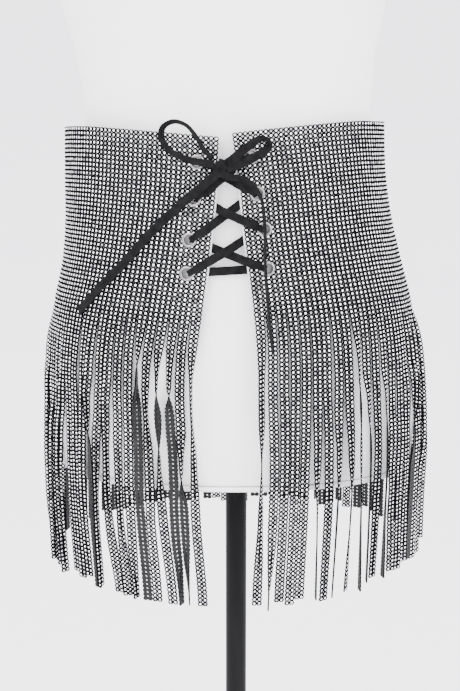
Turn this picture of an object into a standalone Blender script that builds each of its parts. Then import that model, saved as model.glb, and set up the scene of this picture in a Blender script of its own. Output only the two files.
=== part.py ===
"""Rhinestone fringe belt, laced at the front, on a limbless dress form with a round stand.

The belt is one wrap of rhinestone net. It stands off the waist, rests on the hips, and is cut into
narrow strips below its lower edge. Eight metal eyelets and a flat lace close it at the front.
Metres, +Z up. The front faces -Y, left is -X, and the origin is the foot's centre on the floor.
"""

import functools
import math
import random
from collections import namedtuple

import bmesh
import bpy
import numpy as np
from mathutils import Matrix, Vector

MM = 0.001
GAP = 0.3 * MM  # between pieces that touch

# The belt
BELT_TOP = 1.040
BAND_HEIGHT = 0.141
BAND_BOTTOM = BELT_TOP - BAND_HEIGHT
BELT_SLOPE = 0.015  # the belt's right side hangs a little higher
NET_THICKNESS = 2.0 * MM
FINE_WIDTH = 0.046  # from each front edge, the width that the eyelet holes need in short facets
SECTION_POWER = 2.2  # between an ellipse and a rounded box

# The fringe, in strips of two stone columns
STRIPS = 92
FRINGE_LENGTH = 0.2365
ROOT_STRIP_HEIGHT = 4.0 * MM
STRIP_ROOT_WIDTH = 8.1 * MM
STRIP_WIDTH = 7.7 * MM
STRIP_CLEARANCE = 0.35 * MM
STRIP_LEVELS = (0.0, 0.07, 0.23, 0.4, 0.58, 0.78, 1.0)
RISE_START, RISE_SPAN = 0.03, 0.13  # as shares of the way round from a front edge
NARROWED_BY = 0.07  # the share of a strip's length over which it draws in
SIDE_RISE = 0.0125  # how much higher the strips end at the sides and the back than at the front

# The eyelets and the facing that they are set through
EYELET_HOLE_RADIUS = 3.8 * MM
EYELET_BARREL_RADIUS = 4.4 * MM
EYELET_FACE_RADIUS = 6.0 * MM
EYELET_BACK_RADIUS = 5.7 * MM
PUNCHED_RADIUS = EYELET_BARREL_RADIUS + GAP
EYELET_SIDES = 12
FACING_THICKNESS = 1.0 * MM
FACING_WIDTH = 26.0 * MM
FACING_SHOWS = 1.2 * MM
FACING_TOP_DROP = 0.009
FACING_BOTTOM_DROP = 0.130

# The lace, a flat suede tape
LACE_WIDTH = 7.0 * MM
DRAWN_WIDTH = 5.2 * MM  # where the eyelets draw it narrow
LACE_THICKNESS = 1.3 * MM
KNOT_SIZE = Vector((12.5, 9.0, 14.0)) * MM
KNOT_PLACE = (-0.0119, 0.0234, 0.0080)

# The dress form and its stand
FORM_BOTTOM = 0.7545
PLATE_THICKNESS = 4.0 * MM
FOOT_RADIUS = 0.205
FOOT_THICKNESS = 14.0 * MM
POLE_RADIUS = 9.2 * MM
HUB_RADIUS = 24.0 * MM
HUB_TOP = 0.055
SOCKET_FLOOR = 0.020

Place = namedtuple("Place", "x drop")  # across the front, and down from the belt's top, in millimetres

# The eyelets of each side, from the top
EYELETS = {
    "left": (Place(-31.1, 19.1), Place(-33.6, 47.7), Place(-37.3, 79.8), Place(-39.3, 106.3)),
    "right": (Place(11.0, 15.6), Place(15.7, 44.3), Place(21.4, 72.3), Place(23.9, 103.3)),
}

Ring = namedtuple("Ring", "height half_width front back centre_x")

BELT_RINGS = (
    Ring(1.0400, 0.1326, 0.1010, 0.1000, -0.0100),
    Ring(0.9980, 0.1341, 0.1028, 0.1020, -0.0093),
    Ring(0.9626, 0.1371, 0.1045, 0.1060, -0.0068),
    Ring(0.9276, 0.1431, 0.1065, 0.1125, -0.0043),
    Ring(0.8990, 0.1502, 0.1080, 0.1180, -0.0036),
    Ring(0.8526, 0.1557, 0.1090, 0.1245, -0.0016),
    Ring(0.8076, 0.1576, 0.1100, 0.1270, 0.0002),
    Ring(0.7626, 0.1589, 0.1110, 0.1280, 0.0003),
    Ring(0.7126, 0.1580, 0.1115, 0.1280, -0.0006),
    Ring(0.6400, 0.1560, 0.1115, 0.1265, 0.0000),
)

FORM_RINGS = (
    Ring(1.5300, 0.0540, 0.0500, 0.0560, -0.0120),
    Ring(1.5000, 0.0545, 0.0500, 0.0580, -0.0120),
    Ring(1.4740, 0.0600, 0.0520, 0.0640, -0.0120),
    Ring(1.4560, 0.0830, 0.0560, 0.0720, -0.0120),
    Ring(1.4380, 0.1220, 0.0640, 0.0820, -0.0120),
    Ring(1.4160, 0.1540, 0.0760, 0.0920, -0.0120),
    Ring(1.3850, 0.1700, 0.0920, 0.1000, -0.0120),
    Ring(1.3400, 0.1690, 0.1100, 0.1050, -0.0120),
    Ring(1.2950, 0.1600, 0.1240, 0.1070, -0.0120),
    Ring(1.2500, 0.1520, 0.1280, 0.1060, -0.0115),
    Ring(1.2050, 0.1440, 0.1180, 0.1040, -0.0110),
    Ring(1.1420, 0.1330, 0.1000, 0.0980, -0.0110),
    Ring(1.0950, 0.1225, 0.0925, 0.0910, -0.0090),
    Ring(1.0486, 0.1188, 0.0900, 0.0880, -0.0070),
    Ring(1.0150, 0.1215, 0.0910, 0.0895, -0.0060),
    Ring(0.9800, 0.1285, 0.0935, 0.0950, -0.0050),
    Ring(0.9400, 0.1362, 0.0965, 0.1045, -0.0050),
    Ring(0.8990, 0.1470, 0.0990, 0.1164, -0.0034),
    Ring(0.8600, 0.1527, 0.1000, 0.1205, -0.0018),
    Ring(0.8200, 0.1550, 0.1005, 0.1228, -0.0005),
    Ring(0.7900, 0.1545, 0.1000, 0.1220, 0.0000),
    Ring(FORM_BOTTOM, 0.1510, 0.0975, 0.1170, 0.0000),
)

FrontEdge = namedtuple("FrontEdge", "height left_x right_x")

FRONT_EDGES = (
    FrontEdge(1.0400, -0.0139, -0.0037),
    FrontEdge(0.9990, -0.0163, 0.0024),
    FrontEdge(0.9630, -0.0200, 0.0060),
    FrontEdge(0.9340, -0.0234, 0.0096),
    FrontEdge(0.8990, -0.0277, 0.0136),
    FrontEdge(0.8754, -0.0302, 0.0151),
    FrontEdge(0.8374, -0.0314, 0.0152),
    FrontEdge(0.7880, -0.0296, 0.0155),
    FrontEdge(0.7325, -0.0282, 0.0145),
    FrontEdge(0.6576, -0.0230, 0.0119),
    FrontEdge(0.6400, -0.0228, 0.0115),
)

NetRise = namedtuple("NetRise", "share rise")

# How much higher the net hangs, in millimetres, by the share of the way round from each front edge
LEFT_RISES = (
    NetRise(0.000, 0.0),
    NetRise(0.030, 2.0),
    NetRise(0.062, 4.0),
    NetRise(0.090, 5.3),
    NetRise(0.121, 6.2),
    NetRise(0.150, 6.4),
    NetRise(0.178, 5.4),
    NetRise(0.225, 2.1),
    NetRise(0.262, -1.4),
    NetRise(0.300, -3.4),
    NetRise(0.350, -3.0),
    NetRise(0.420, -1.4),
    NetRise(0.500, -1.0),
)
RIGHT_RISES = (
    NetRise(0.000, 2.9),
    NetRise(0.030, 4.9),
    NetRise(0.062, 6.4),
    NetRise(0.090, 7.4),
    NetRise(0.121, 7.8),
    NetRise(0.150, 7.4),
    NetRise(0.178, 5.6),
    NetRise(0.225, 2.1),
    NetRise(0.262, -1.4),
    NetRise(0.300, -3.0),
    NetRise(0.350, -2.6),
    NetRise(0.420, -1.4),
    NetRise(0.500, -1.0),
)

StripTurn = namedtuple("StripTurn", "quarter third half two_thirds end")

# How far the strips beside the front opening turn on their way down, in degrees, from the opening on
LEFT_FRONT_TURNS = (
    StripTurn(85, 90, 60, 20, 0),
    StripTurn(0, 0, 80, 170, 100),
    StripTurn(-50, -150, -172, -168, -105),
    StripTurn(95, 150, 90, 20, 0),
    StripTurn(60, 85, 35, 10, 0),
    StripTurn(-80, -150, -175, -180, -180),
    StripTurn(0, 5, 15, 10, 80),
    StripTurn(0, 10, 60, 80, 30),
)
RIGHT_FRONT_TURNS = (
    StripTurn(50, 50, 85, 60, 0),
    StripTurn(0, 0, 5, 10, 85),
    StripTurn(0, 0, 0, 5, 0),
    StripTurn(0, -5, 0, 5, 10),
    StripTurn(0, 0, 5, 5, 0),
    StripTurn(0, 0, 25, 70, 78),
    StripTurn(0, 5, 0, 10, 20),
    StripTurn(0, 0, 35, 70, 68),
    StripTurn(0, 0, 25, 64, 45),
    StripTurn(50, 66, 50, 60, 72),
    StripTurn(0, 40, 62, 58, 60),
    StripTurn(0, 0, 5, 0, 10),
    StripTurn(10, 40, 54, 50, 66),
)
# The ways that the other strips hang, and how many of each there are among twenty
COMMON_TURNS = (
    (9, StripTurn(0, 5, 8, 5, 10)),
    (3, StripTurn(20, 70, 90, 70, 15)),
    (3, StripTurn(5, 20, 60, 90, 95)),
    (2, StripTurn(60, 90, 60, 20, 5)),
    (3, StripTurn(40, 100, 160, 180, 175)),
)
TURN_STATIONS = (0.0, 0.22, 0.34, 0.50, 0.68, 1.0)


def smooth(table, height):
    """The columns of a table at a height, on a smooth curve through its rows, which run from the top down."""
    rows = np.array(table, float)
    heights = rows[:, 0]
    height = min(max(height, heights[-1]), heights[0])
    slopes = np.gradient(rows[:, 1:], heights, axis=0)
    low = min(int(np.searchsorted(-heights, -height, side="right")), len(rows) - 1)
    high = low - 1
    span = heights[low] - heights[high]
    t = (height - heights[high]) / span
    start, end = rows[high, 1:], rows[low, 1:]
    return (
        (2 * t**3 - 3 * t**2 + 1) * start
        + (t**3 - 2 * t**2 + t) * span * slopes[high]
        + (3 * t**2 - 2 * t**3) * end
        + (t**3 - t**2) * span * slopes[low]
    )


def section_points(ring, turns):
    """Points of a closed section. A turn of 0 is the front, and turns grow to the left, the back and the right."""
    half_width, front, back, centre_x = ring
    across, along = np.sin(turns), np.cos(turns)
    reach = 2 / SECTION_POWER
    x = centre_x - half_width * np.sign(across) * np.abs(across) ** reach
    y = -np.where(along > 0, front, back) * np.sign(along) * np.abs(along) ** reach
    return np.stack([x, y], axis=-1)


class BeltRing:
    """One level section of the belt, measured along its girth from the middle of the front to the left."""

    SAMPLES = 1440

    def __init__(self, height):
        self.height = height
        ring = smooth(BELT_RINGS, height)
        self.points = section_points(ring, np.linspace(0, 2 * math.pi, self.SAMPLES + 1))
        steps = np.linalg.norm(np.diff(self.points, axis=0), axis=1)
        self.lengths = np.concatenate([[0], np.cumsum(steps)])
        self.girth = self.lengths[-1]
        left_x, right_x = smooth(FRONT_EDGES, height)
        quarter = self.SAMPLES // 4
        self.left_edge = float(np.interp(-left_x, -self.points[:quarter, 0], self.lengths[:quarter]))
        last = self.SAMPLES - quarter
        self.right_edge = float(np.interp(-right_x, -self.points[last:, 0], self.lengths[last:]))

    def place(self, along):
        """(point, direction of growing girth, outward direction) at lengths along the girth."""
        along = np.asarray(along, float) % self.girth
        step = self.girth / self.SAMPLES
        point, before, after = (
            np.stack([np.interp(at % self.girth, self.lengths, self.points[:, k]) for k in (0, 1)], -1)
            for at in (along, along - step, along + step)
        )
        tangent = after - before
        tangent /= np.linalg.norm(tangent, axis=-1, keepdims=True)
        outward = np.stack([-tangent[..., 1], tangent[..., 0]], -1)
        return point, tangent, outward

    def across(self, share):
        """The length along the girth at a share of the way from the left front edge round to the right one."""
        return self.left_edge + share * (self.right_edge - self.left_edge)


@functools.lru_cache(maxsize=None)
def belt_ring(height):
    return BeltRing(height)


def rim_rise(share):
    """How much higher the net hangs at a share of the way round than at the left front corner."""
    table = LEFT_RISES if share <= 0.5 else RIGHT_RISES
    return float(smooth([(-at, rise) for at, rise in table], -min(share, 1 - share))[0]) * MM


def raised(point, height):
    """A plan point as a point in space, on the belt's slight slope."""
    return Vector((point[0], point[1], height + BELT_SLOPE * point[0]))


def wall_point(along, height, offset):
    """A point on the belt's wall, moved outwards by an offset from the middle of its thickness."""
    point, _, outward = belt_ring(round(height, 6)).place(along)
    return raised(point + offset * outward, height)


def net_point(share, height, offset):
    """A point of the net at a share of the way round. The height is the one that it has without its rise."""
    height = round(height + rim_rise(share), 6)
    return wall_point(belt_ring(height).across(share), height, offset)


def front_surface(x, drop):
    """A point of the middle of the front's wall, by its x and its drop below the belt's top."""
    height = BELT_TOP - drop
    half_width, front, _, centre_x = (float(value) for value in smooth(BELT_RINGS, height))
    share = min(abs(x - centre_x) / half_width, 0.999)
    y = -front * (1 - share**SECTION_POWER) ** (1 / SECTION_POWER)
    return raised((x, y), height)


def front_normal(x, drop):
    """The direction out of the front at an x and a drop."""
    across = front_surface(x + MM, drop) - front_surface(x - MM, drop)
    down = front_surface(x, drop + MM) - front_surface(x, drop - MM)
    return down.cross(across).normalized()


def front_point(x, drop, offset):
    """A point at an offset out of the front's wall."""
    return front_surface(x, drop) + offset * front_normal(x, drop)


def new_object(name, mesh, collection, material=None):
    built = bpy.data.objects.new(name, mesh)
    collection.objects.link(built)
    if material:
        mesh.materials.append(material)
    return built


def new_material(name, colour, roughness, metallic=0.0):
    material = bpy.data.materials.new(name)
    material.use_nodes = True
    shader = material.node_tree.nodes["Principled BSDF"]
    shader.inputs["Base Color"].default_value = (*colour, 1)
    shader.inputs["Roughness"].default_value = roughness
    shader.inputs["Metallic"].default_value = metallic
    material.diffuse_color = (*colour, 1)
    return material


def cloth(name, columns, rows, place, thickness, collection, material, keep=None):
    """A sheet of cloth: a grid whose points are placed by column and row, given its thickness both ways."""
    bm = bmesh.new()
    bmesh.ops.create_grid(bm, x_segments=columns, y_segments=rows, size=0.5)
    if keep:
        cut = []
        for face in bm.faces:
            middle = face.calc_center_median()
            if not keep(int((middle.x + 0.5) * columns), int((0.5 - middle.y) * rows)):
                cut.append(face)
        bmesh.ops.delete(bm, geom=cut, context="FACES")
    for vert in bm.verts:
        vert.co = place(round((vert.co.x + 0.5) * columns), round((0.5 - vert.co.y) * rows))
    mesh = bpy.data.meshes.new(name)
    bm.to_mesh(mesh)
    bm.free()
    sheet = new_object(name, mesh, collection, material)
    wall = sheet.modifiers.new("wall", "SOLIDIFY")
    wall.thickness = thickness
    wall.offset = 0
    return sheet


def turned(name, profile, sides, collection, material):
    """A turned piece from (radius, height) points that run down its outer side."""
    mesh = bpy.data.meshes.new(name)
    points = [(radius, 0, height) for radius, height in profile]
    closed = profile[0][0] > 0
    edges = [(i, i + 1) for i in range(len(points) - 1)] + ([(len(points) - 1, 0)] if closed else [])
    mesh.from_pydata(points, edges, [])
    piece = new_object(name, mesh, collection, material)
    spin = piece.modifiers.new("turn", "SCREW")
    spin.steps = sides
    spin.render_steps = sides
    spin.use_merge_vertices = True
    spin.merge_threshold = 0.00001
    return piece


def section_loft(name, rings, sides, collection, material):
    """A closed body through level sections, from the top down, with flat ends."""
    bm = bmesh.new()
    turns = np.linspace(0, 2 * math.pi, sides, endpoint=False)
    loops = []
    for ring in rings:
        points = section_points(ring[1:], turns)
        loops.append([bm.verts.new((x, y, ring.height)) for x, y in points])
    for upper, lower in zip(loops, loops[1:]):
        for i in range(sides):
            j = (i + 1) % sides
            bm.faces.new((upper[i], upper[j], lower[j], lower[i]))
    bm.faces.new(loops[0])
    bm.faces.new(loops[-1][::-1])
    bmesh.ops.recalc_face_normals(bm, faces=bm.faces)
    mesh = bpy.data.meshes.new(name)
    bm.to_mesh(mesh)
    bm.free()
    mesh.shade_smooth()
    return new_object(name, mesh, collection, material)


def turning(station_values, share):
    """A strip's turn at a share of its length, easing from one station to the next."""
    values = np.concatenate([[0.0], station_values])
    at = int(np.clip(np.searchsorted(TURN_STATIONS, share, side="right") - 1, 0, len(values) - 2))
    t = (share - TURN_STATIONS[at]) / (TURN_STATIONS[at + 1] - TURN_STATIONS[at])
    t = t * t * (3 - 2 * t)
    return values[at] + (values[at + 1] - values[at]) * t


class Fringe:
    """Where each strip hangs: its place along the girth, its turn and its distance from the form."""

    def __init__(self):
        chance = random.Random(11)
        ways = [turn for count, turn in COMMON_TURNS for _ in range(count)]
        self.turns, self.sways, self.lengths, self.stands = [], [], [], []
        for i in range(STRIPS):
            way = np.array(chance.choice(ways), float)
            share = (i + 0.5) / STRIPS
            if 0.3 < share < 0.7:
                way *= chance.choice((-1, 1))
            elif share > 0.5:
                way *= -1
            way += np.array([chance.uniform(-12, 12) for _ in way])
            if i < len(LEFT_FRONT_TURNS):
                way = np.array(LEFT_FRONT_TURNS[i], float)
            if STRIPS - 1 - i < len(RIGHT_FRONT_TURNS):
                way = np.array(RIGHT_FRONT_TURNS[STRIPS - 1 - i], float)
            self.turns.append(np.radians(way))
            self.sways.append([chance.uniform(-1, 1) * reach * MM for reach in (1.0, 2.2, 3.2)])
            self.lengths.append(chance.uniform(-3.5, 3.5) * MM)
            self.stands.append([chance.uniform(0, 0.6) * MM, chance.uniform(0, 2) * MM])
        self.sways[0] = self.sways[-1] = [0, 0, 0]
        self.rises = np.array([rim_rise((i + 0.5) / STRIPS) for i in range(STRIPS)])

    def height(self, share):
        """The height of each strip's middle line at a share of its length."""
        root = BAND_BOTTOM - GAP - ROOT_STRIP_HEIGHT
        share_around = (np.arange(STRIPS) + 0.5) / STRIPS
        from_edge = np.minimum(share_around, 1 - share_around)
        risen = np.clip((from_edge - RISE_START) / RISE_SPAN, 0, 1)
        ends = FRINGE_LENGTH - SIDE_RISE * risen**2 * (3 - 2 * risen) + np.array(self.lengths)
        return root + (1 - share) * self.rises - share * ends

    def width(self, share):
        """A strip's width: it draws in just below its root."""
        drawn = min(share / NARROWED_BY, 1.0)
        return STRIP_ROOT_WIDTH + (STRIP_WIDTH - STRIP_ROOT_WIDTH) * drawn

    def level(self, share):
        """(centres, heights, width directions) of all the strips at a share of their length."""
        heights = self.height(share)
        ring = belt_ring(round(float(heights.mean()), 6))
        angles = np.array([turning(turn, share) for turn in self.turns])
        half = self.width(share) / 2
        sway = np.array([np.interp(share, (0, 0.25, 0.6, 1), (0, *keys)) for keys in self.sways])
        stand = np.array([np.interp(share, (0, 0.3, 1), (0, *keys)) for keys in self.stands])
        places = ring.across((np.arange(STRIPS) + 0.5) / STRIPS) + sway
        reach = half * np.abs(np.cos(angles)) + NET_THICKNESS / 2 * np.abs(np.sin(angles))
        room = reach[:-1] + reach[1:] + STRIP_CLEARANCE
        for _ in range(200):
            short = np.maximum(room - np.diff(places), 0) / 2
            places[:-1] -= short
            places[1:] += short
        point, tangent, outward = ring.place(places)
        point = point + outward * (stand + half * np.abs(np.sin(angles)))[:, None]
        spread = tangent * np.cos(angles)[:, None] + outward * np.sin(angles)[:, None]
        return point, heights, spread


def fringe_half(name, first, last, fringe, collection, material):
    """Strips fused into a narrow root strip, which hangs just under the belt's lower edge."""
    count = last - first
    levels = [fringe.level(share) for share in STRIP_LEVELS]
    root_top = BAND_BOTTOM - GAP
    root_ring = belt_ring(BAND_BOTTOM)

    def place(column, row):
        strip, side = first + column // 2, (column % 2) * 2 - 1
        if row == 0:
            girth = root_ring.right_edge - root_ring.left_edge
            share = (strip + 0.5) / STRIPS + side * STRIP_ROOT_WIDTH / 2 / girth
            if column in (0, 2 * count - 1):
                share = (strip + 0.5 + side * 0.5) / STRIPS - side * GAP / 2 / girth
            return net_point(share, root_top, 0)
        point, heights, spread = levels[row - 1]
        edge = point[strip] + spread[strip] * side * fringe.width(STRIP_LEVELS[row - 1]) / 2
        return raised(edge, heights[strip])

    def keep(column, row):
        return row == 0 or column % 2 == 0

    return cloth(
        name, 2 * count - 1, len(STRIP_LEVELS), place, NET_THICKNESS, collection, material, keep
    )


def band_half(name, near_front, collection, material):
    """Half of the belt's wall, from a front edge to the middle of the back, with finer columns in front."""
    fine_columns, coarse_columns, rows = 8, 19, 7
    middle_ring = belt_ring(BELT_TOP - BAND_HEIGHT / 2)
    fine_share = FINE_WIDTH / (middle_ring.right_edge - middle_ring.left_edge)
    seam_share = GAP / 2 / (middle_ring.right_edge - middle_ring.left_edge)

    def place(column, row):
        height = BELT_TOP - BAND_HEIGHT * row / rows
        if column <= fine_columns:
            share = fine_share * column / fine_columns
        else:
            rest = (column - fine_columns) / coarse_columns
            share = fine_share + (0.5 - seam_share - fine_share) * rest
        return net_point(share if near_front == "left" else 1 - share, height, 0)

    return cloth(name, fine_columns + coarse_columns, rows, place, NET_THICKNESS, collection, material)


def facing_strip(name, side, collection, material):
    """The narrow tape behind a front edge that the eyelets are set through."""
    columns, rows = 5, 6
    offset = -(NET_THICKNESS / 2 + GAP + FACING_THICKNESS / 2)

    def place(column, row):
        drop = FACING_TOP_DROP + (FACING_BOTTOM_DROP - FACING_TOP_DROP) * row / rows
        ring = belt_ring(round(BELT_TOP - drop, 6))
        inset = -FACING_SHOWS + FACING_WIDTH * column / columns
        along = ring.left_edge + inset if side == "left" else ring.right_edge - inset
        return wall_point(along, BELT_TOP - drop, offset)

    return cloth(name, columns, rows, place, FACING_THICKNESS, collection, material)


def eyelet_place(side, number):
    """The x and drop of an eyelet, counted from the top."""
    return tuple(length * MM for length in EYELETS[side][number - 1])


def eyelet_frame(side, number):
    """The eyelet's place as a matrix whose Z axis points out of the cloth."""
    x, drop = eyelet_place(side, number)
    normal = front_normal(x, drop)
    turn = normal.to_track_quat("Z", "Y").to_matrix().to_4x4()
    return Matrix.Translation(front_point(x, drop, 0)) @ turn


def eyelet(name, frame, collection, material):
    """A rolled metal ring that clamps the net and its facing."""
    face_under = NET_THICKNESS / 2 + GAP
    back_under = -(NET_THICKNESS / 2 + FACING_THICKNESS + 2 * GAP)
    profile = (
        (EYELET_HOLE_RADIUS, face_under + 0.45 * MM),
        (EYELET_HOLE_RADIUS + 0.7 * MM, face_under + 0.8 * MM),
        (EYELET_FACE_RADIUS - 0.5 * MM, face_under + 0.6 * MM),
        (EYELET_FACE_RADIUS, face_under),
        (EYELET_BARREL_RADIUS, face_under),
        (EYELET_BARREL_RADIUS, back_under),
        (EYELET_BACK_RADIUS, back_under),
        (EYELET_BACK_RADIUS, back_under - 0.5 * MM),
        (EYELET_HOLE_RADIUS, back_under - 0.5 * MM),
    )
    ring = turned(name, profile, EYELET_SIDES, collection, material)
    ring.matrix_world = frame
    return ring


def eyelet_punch(name, frame, cutters):
    """The hole that an eyelet needs in the cloth."""
    mesh = bpy.data.meshes.new(name)
    bm = bmesh.new()
    bmesh.ops.create_cone(
        bm, cap_ends=True, segments=12, radius1=PUNCHED_RADIUS, radius2=PUNCHED_RADIUS, depth=12 * MM
    )
    bm.to_mesh(mesh)
    bm.free()
    punch = new_object(name, mesh, cutters)
    punch.matrix_world = frame
    punch.hide_render = True
    punch.display_type = "WIRE"
    return punch


def cut(piece, cutter):
    hole = piece.modifiers.new(cutter.name, "BOOLEAN")
    hole.operation = "DIFFERENCE"
    hole.object = cutter


def tape(name, route, width, collection, material):
    """A stretch of the lace. Each stop of its route is (point, width direction)."""
    stops = [(Vector(point), Vector(across).normalized() * width / 2) for point, across in route]

    def place(column, row):
        point, half = stops[row]
        return point + half if column else point - half

    return cloth(name, 1, len(stops) - 1, place, LACE_THICKNESS, collection, material)


def front_direction(start, end):
    """The direction between two (x, drop) places in the plane of the front."""
    return Vector((end[0] - start[0], 0, start[1] - end[1])).normalized()


def flat_width(x, drop, direction, turn=0.0):
    """The width direction of a tape that runs in a direction and is turned out of the cloth's plane."""
    normal = front_normal(x, drop)
    flat = normal.cross(direction).normalized()
    return flat * math.cos(turn) + normal * math.sin(turn)


def meeting_share(a, b, c, d):
    """The share of the way from a to b at which the line from c to d crosses it."""
    run, other = (b[0] - a[0], b[1] - a[1]), (d[0] - c[0], d[1] - c[1])
    apart = (c[0] - a[0], c[1] - a[1])
    return (apart[0] * other[1] - apart[1] * other[0]) / (run[0] * other[1] - run[1] * other[0])


def edge_share(a, b, side):
    """The share of the way from a to b at which it passes a side's front edge."""
    share = 0.5
    for _ in range(8):
        drop = a[1] + share * (b[1] - a[1])
        share = (smooth(FRONT_EDGES, BELT_TOP - drop)[int(side == "right")] - a[0]) / (b[0] - a[0])
    return float(share)


def crossing(name, start, end, over, collection, material):
    """The lace from one eyelet's face, over the opening and up through the next eyelet from behind."""
    a, b = eyelet_place(*start), eyelet_place(*end)
    length = math.dist(a, b)
    direction = front_direction(a, b)
    mm = MM / length
    rise = abs(b[1] - a[1]) / abs(b[0] - a[0])
    own_edge, far_edge = edge_share(a, b, start[0]), edge_share(a, b, end[0])
    corner = DRAWN_WIDTH / MM / 2 * rise * mm
    other = eyelet_place(end[0], start[1]), eyelet_place(start[0], end[1])
    meet = meeting_share(a, b, *other)
    middle, arrive, leave = (1.45, 3.0, 5.9) if over else (-0.8, 5.3, 0.5)
    stops = (
        (0.0, 0.15),
        (0.0, 1.5),
        (1.0 * mm, 2.6),
        (3.0 * mm, 3.15),
        (8.0 * mm, 3.0),
        (own_edge + corner + 0.9 * mm, 2.35),
        (meet - arrive * mm, middle),
        (meet + leave * mm, middle),
        (far_edge - corner - 1.7 * mm, -3.4),
        (1 - 9.0 * mm, -4.1),
        (1 - 3.0 * mm, -4.5),
        (1 - 1.0 * mm, -3.9),
        (1.0, -2.6),
        (1.0, -0.15),
    )
    route = []
    for share, offset in stops:
        x, drop = a[0] + share * (b[0] - a[0]), a[1] + share * (b[1] - a[1])
        route.append((front_point(x, drop, offset * MM), flat_width(x, drop, direction)))
    return tape(name, route, DRAWN_WIDTH, collection, material)


def lace_bar(name, collection, material):
    """The middle of the lace, straight across behind the front edges, and out through the lowest eyelets."""
    a, b = eyelet_place("left", 4), eyelet_place("right", 4)
    length = math.dist(a, b)
    direction = front_direction(a, b)
    mm = MM / length
    half = ((0.0, -0.15), (0.0, -2.6), (1.0 * mm, -3.9), (3.0 * mm, -4.5), (9.0 * mm, -4.1), (0.35, -3.6))
    stops = half + tuple((1 - share, offset) for share, offset in reversed(half))
    route = []
    for share, offset in stops:
        x, drop = a[0] + share * (b[0] - a[0]), a[1] + share * (b[1] - a[1])
        route.append((front_point(x, drop, offset * MM), flat_width(x, drop, direction)))
    return tape(name, route, DRAWN_WIDTH, collection, material)


Stop = namedtuple("Stop", "x drop offset turn")  # millimetres, and degrees out of the cloth's plane

TOP_LEFT_END = (
    Stop(-24.0, 20.6, 4.6, 0),
    Stop(-17.9, 22.4, 5.6, 0),
)
TOP_RIGHT_END = (
    Stop(3.5, 18.0, 4.4, 0),
    Stop(-6.0, 21.4, 5.6, 0),
)
LEFT_LOOP = (
    Stop(-17.6, 20.3, 9.6, 35),
    Stop(-27.7, 18.8, 9.8, 45),
    Stop(-38.6, 16.0, 9.8, 55),
    Stop(-49.6, 9.9, 10.5, 60),
    Stop(-55.3, 1.5, 11.0, 62),
    Stop(-54.9, -8.0, 11.5, 62),
    Stop(-47.6, -13.0, 11.5, 60),
    Stop(-37.8, -10.3, 11.5, 60),
    Stop(-31.3, -2.7, 11.8, 60),
    Stop(-25.5, 7.7, 12.4, 58),
    Stop(-19.2, 15.0, 12.8, 50),
)
RIGHT_LOOP = (
    Stop(-5.0, 17.4, 12.4, 25),
    Stop(2.0, 10.8, 13.2, 30),
    Stop(9.5, 4.6, 13.6, 35),
    Stop(16.0, 1.6, 13.4, 50),
    Stop(21.5, 2.0, 12.8, 70),
    Stop(23.4, 6.0, 11.8, 65),
    Stop(19.8, 11.0, 11.0, 45),
    Stop(12.0, 16.6, 10.4, 35),
    Stop(4.0, 20.2, 10.6, 35),
    Stop(-5.0, 22.8, 10.8, 30),
)
LEFT_TAIL = (
    Stop(-17.0, 29.2, 8.6, 0),
    Stop(-22.0, 33.2, 8.2, 0),
    Stop(-30.3, 40.9, 7.2, 0),
    Stop(-39.1, 48.3, 5.6, 0),
    Stop(-51.4, 59.7, 4.0, 0),
    Stop(-65.4, 73.0, 2.8, 0),
    Stop(-77.2, 86.1, 2.5, 0),
    Stop(-87.6, 98.6, 2.5, 0),
    Stop(-99.8, 111.7, 2.5, 0),
    Stop(-110.6, 123.3, 2.6, 0),
    Stop(-119.1, 134.0, 2.8, 0),
    Stop(-126.4, 142.3, 3.0, 0),
)
RIGHT_TAIL = (
    Stop(-7.9, 29.8, 9.6, 40),
    Stop(3.5, 32.0, 9.6, 45),
    Stop(12.5, 38.4, 9.4, 60),
    Stop(17.2, 46.4, 9.0, 75),
    Stop(19.8, 58.9, 8.6, 80),
    Stop(20.8, 72.9, 8.4, 82),
    Stop(21.0, 87.8, 8.2, 82),
    Stop(21.4, 101.5, 8.2, 82),
    Stop(22.6, 120.0, 8.2, 80),
    Stop(24.2, 140.4, 8.6, 80),
    Stop(26.0, 157.0, 9.4, 78),
    Stop(27.6, 169.2, 10.2, 78),
)


def free_tape(name, stops, collection, material):
    """A free stretch of the lace through its stops, smoothed, with its flat side turned as they say."""
    places = np.array([(stop.x, stop.drop, stop.offset) for stop in stops]) * MM
    turns = np.radians([stop.turn for stop in stops])
    steps = np.concatenate([[0], np.cumsum(np.linalg.norm(np.diff(places, axis=0), axis=1))])
    values = np.column_stack([steps, places, turns])
    table = [tuple(row) for row in np.column_stack([-values[:, 0], values[:, 1:]])]
    count = 2 * len(stops)
    route = []
    for along in np.linspace(0, steps[-1], count):
        x, drop, offset, turn = (float(value) for value in smooth(table, -along))
        ahead, behind = smooth(table, -min(along + MM, steps[-1])), smooth(table, -max(along - MM, 0))
        direction = front_direction(behind[:2], ahead[:2])
        route.append((front_point(x, drop, offset), flat_width(x, drop, direction, turn)))
    return tape(name, route, LACE_WIDTH, collection, material)


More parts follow.
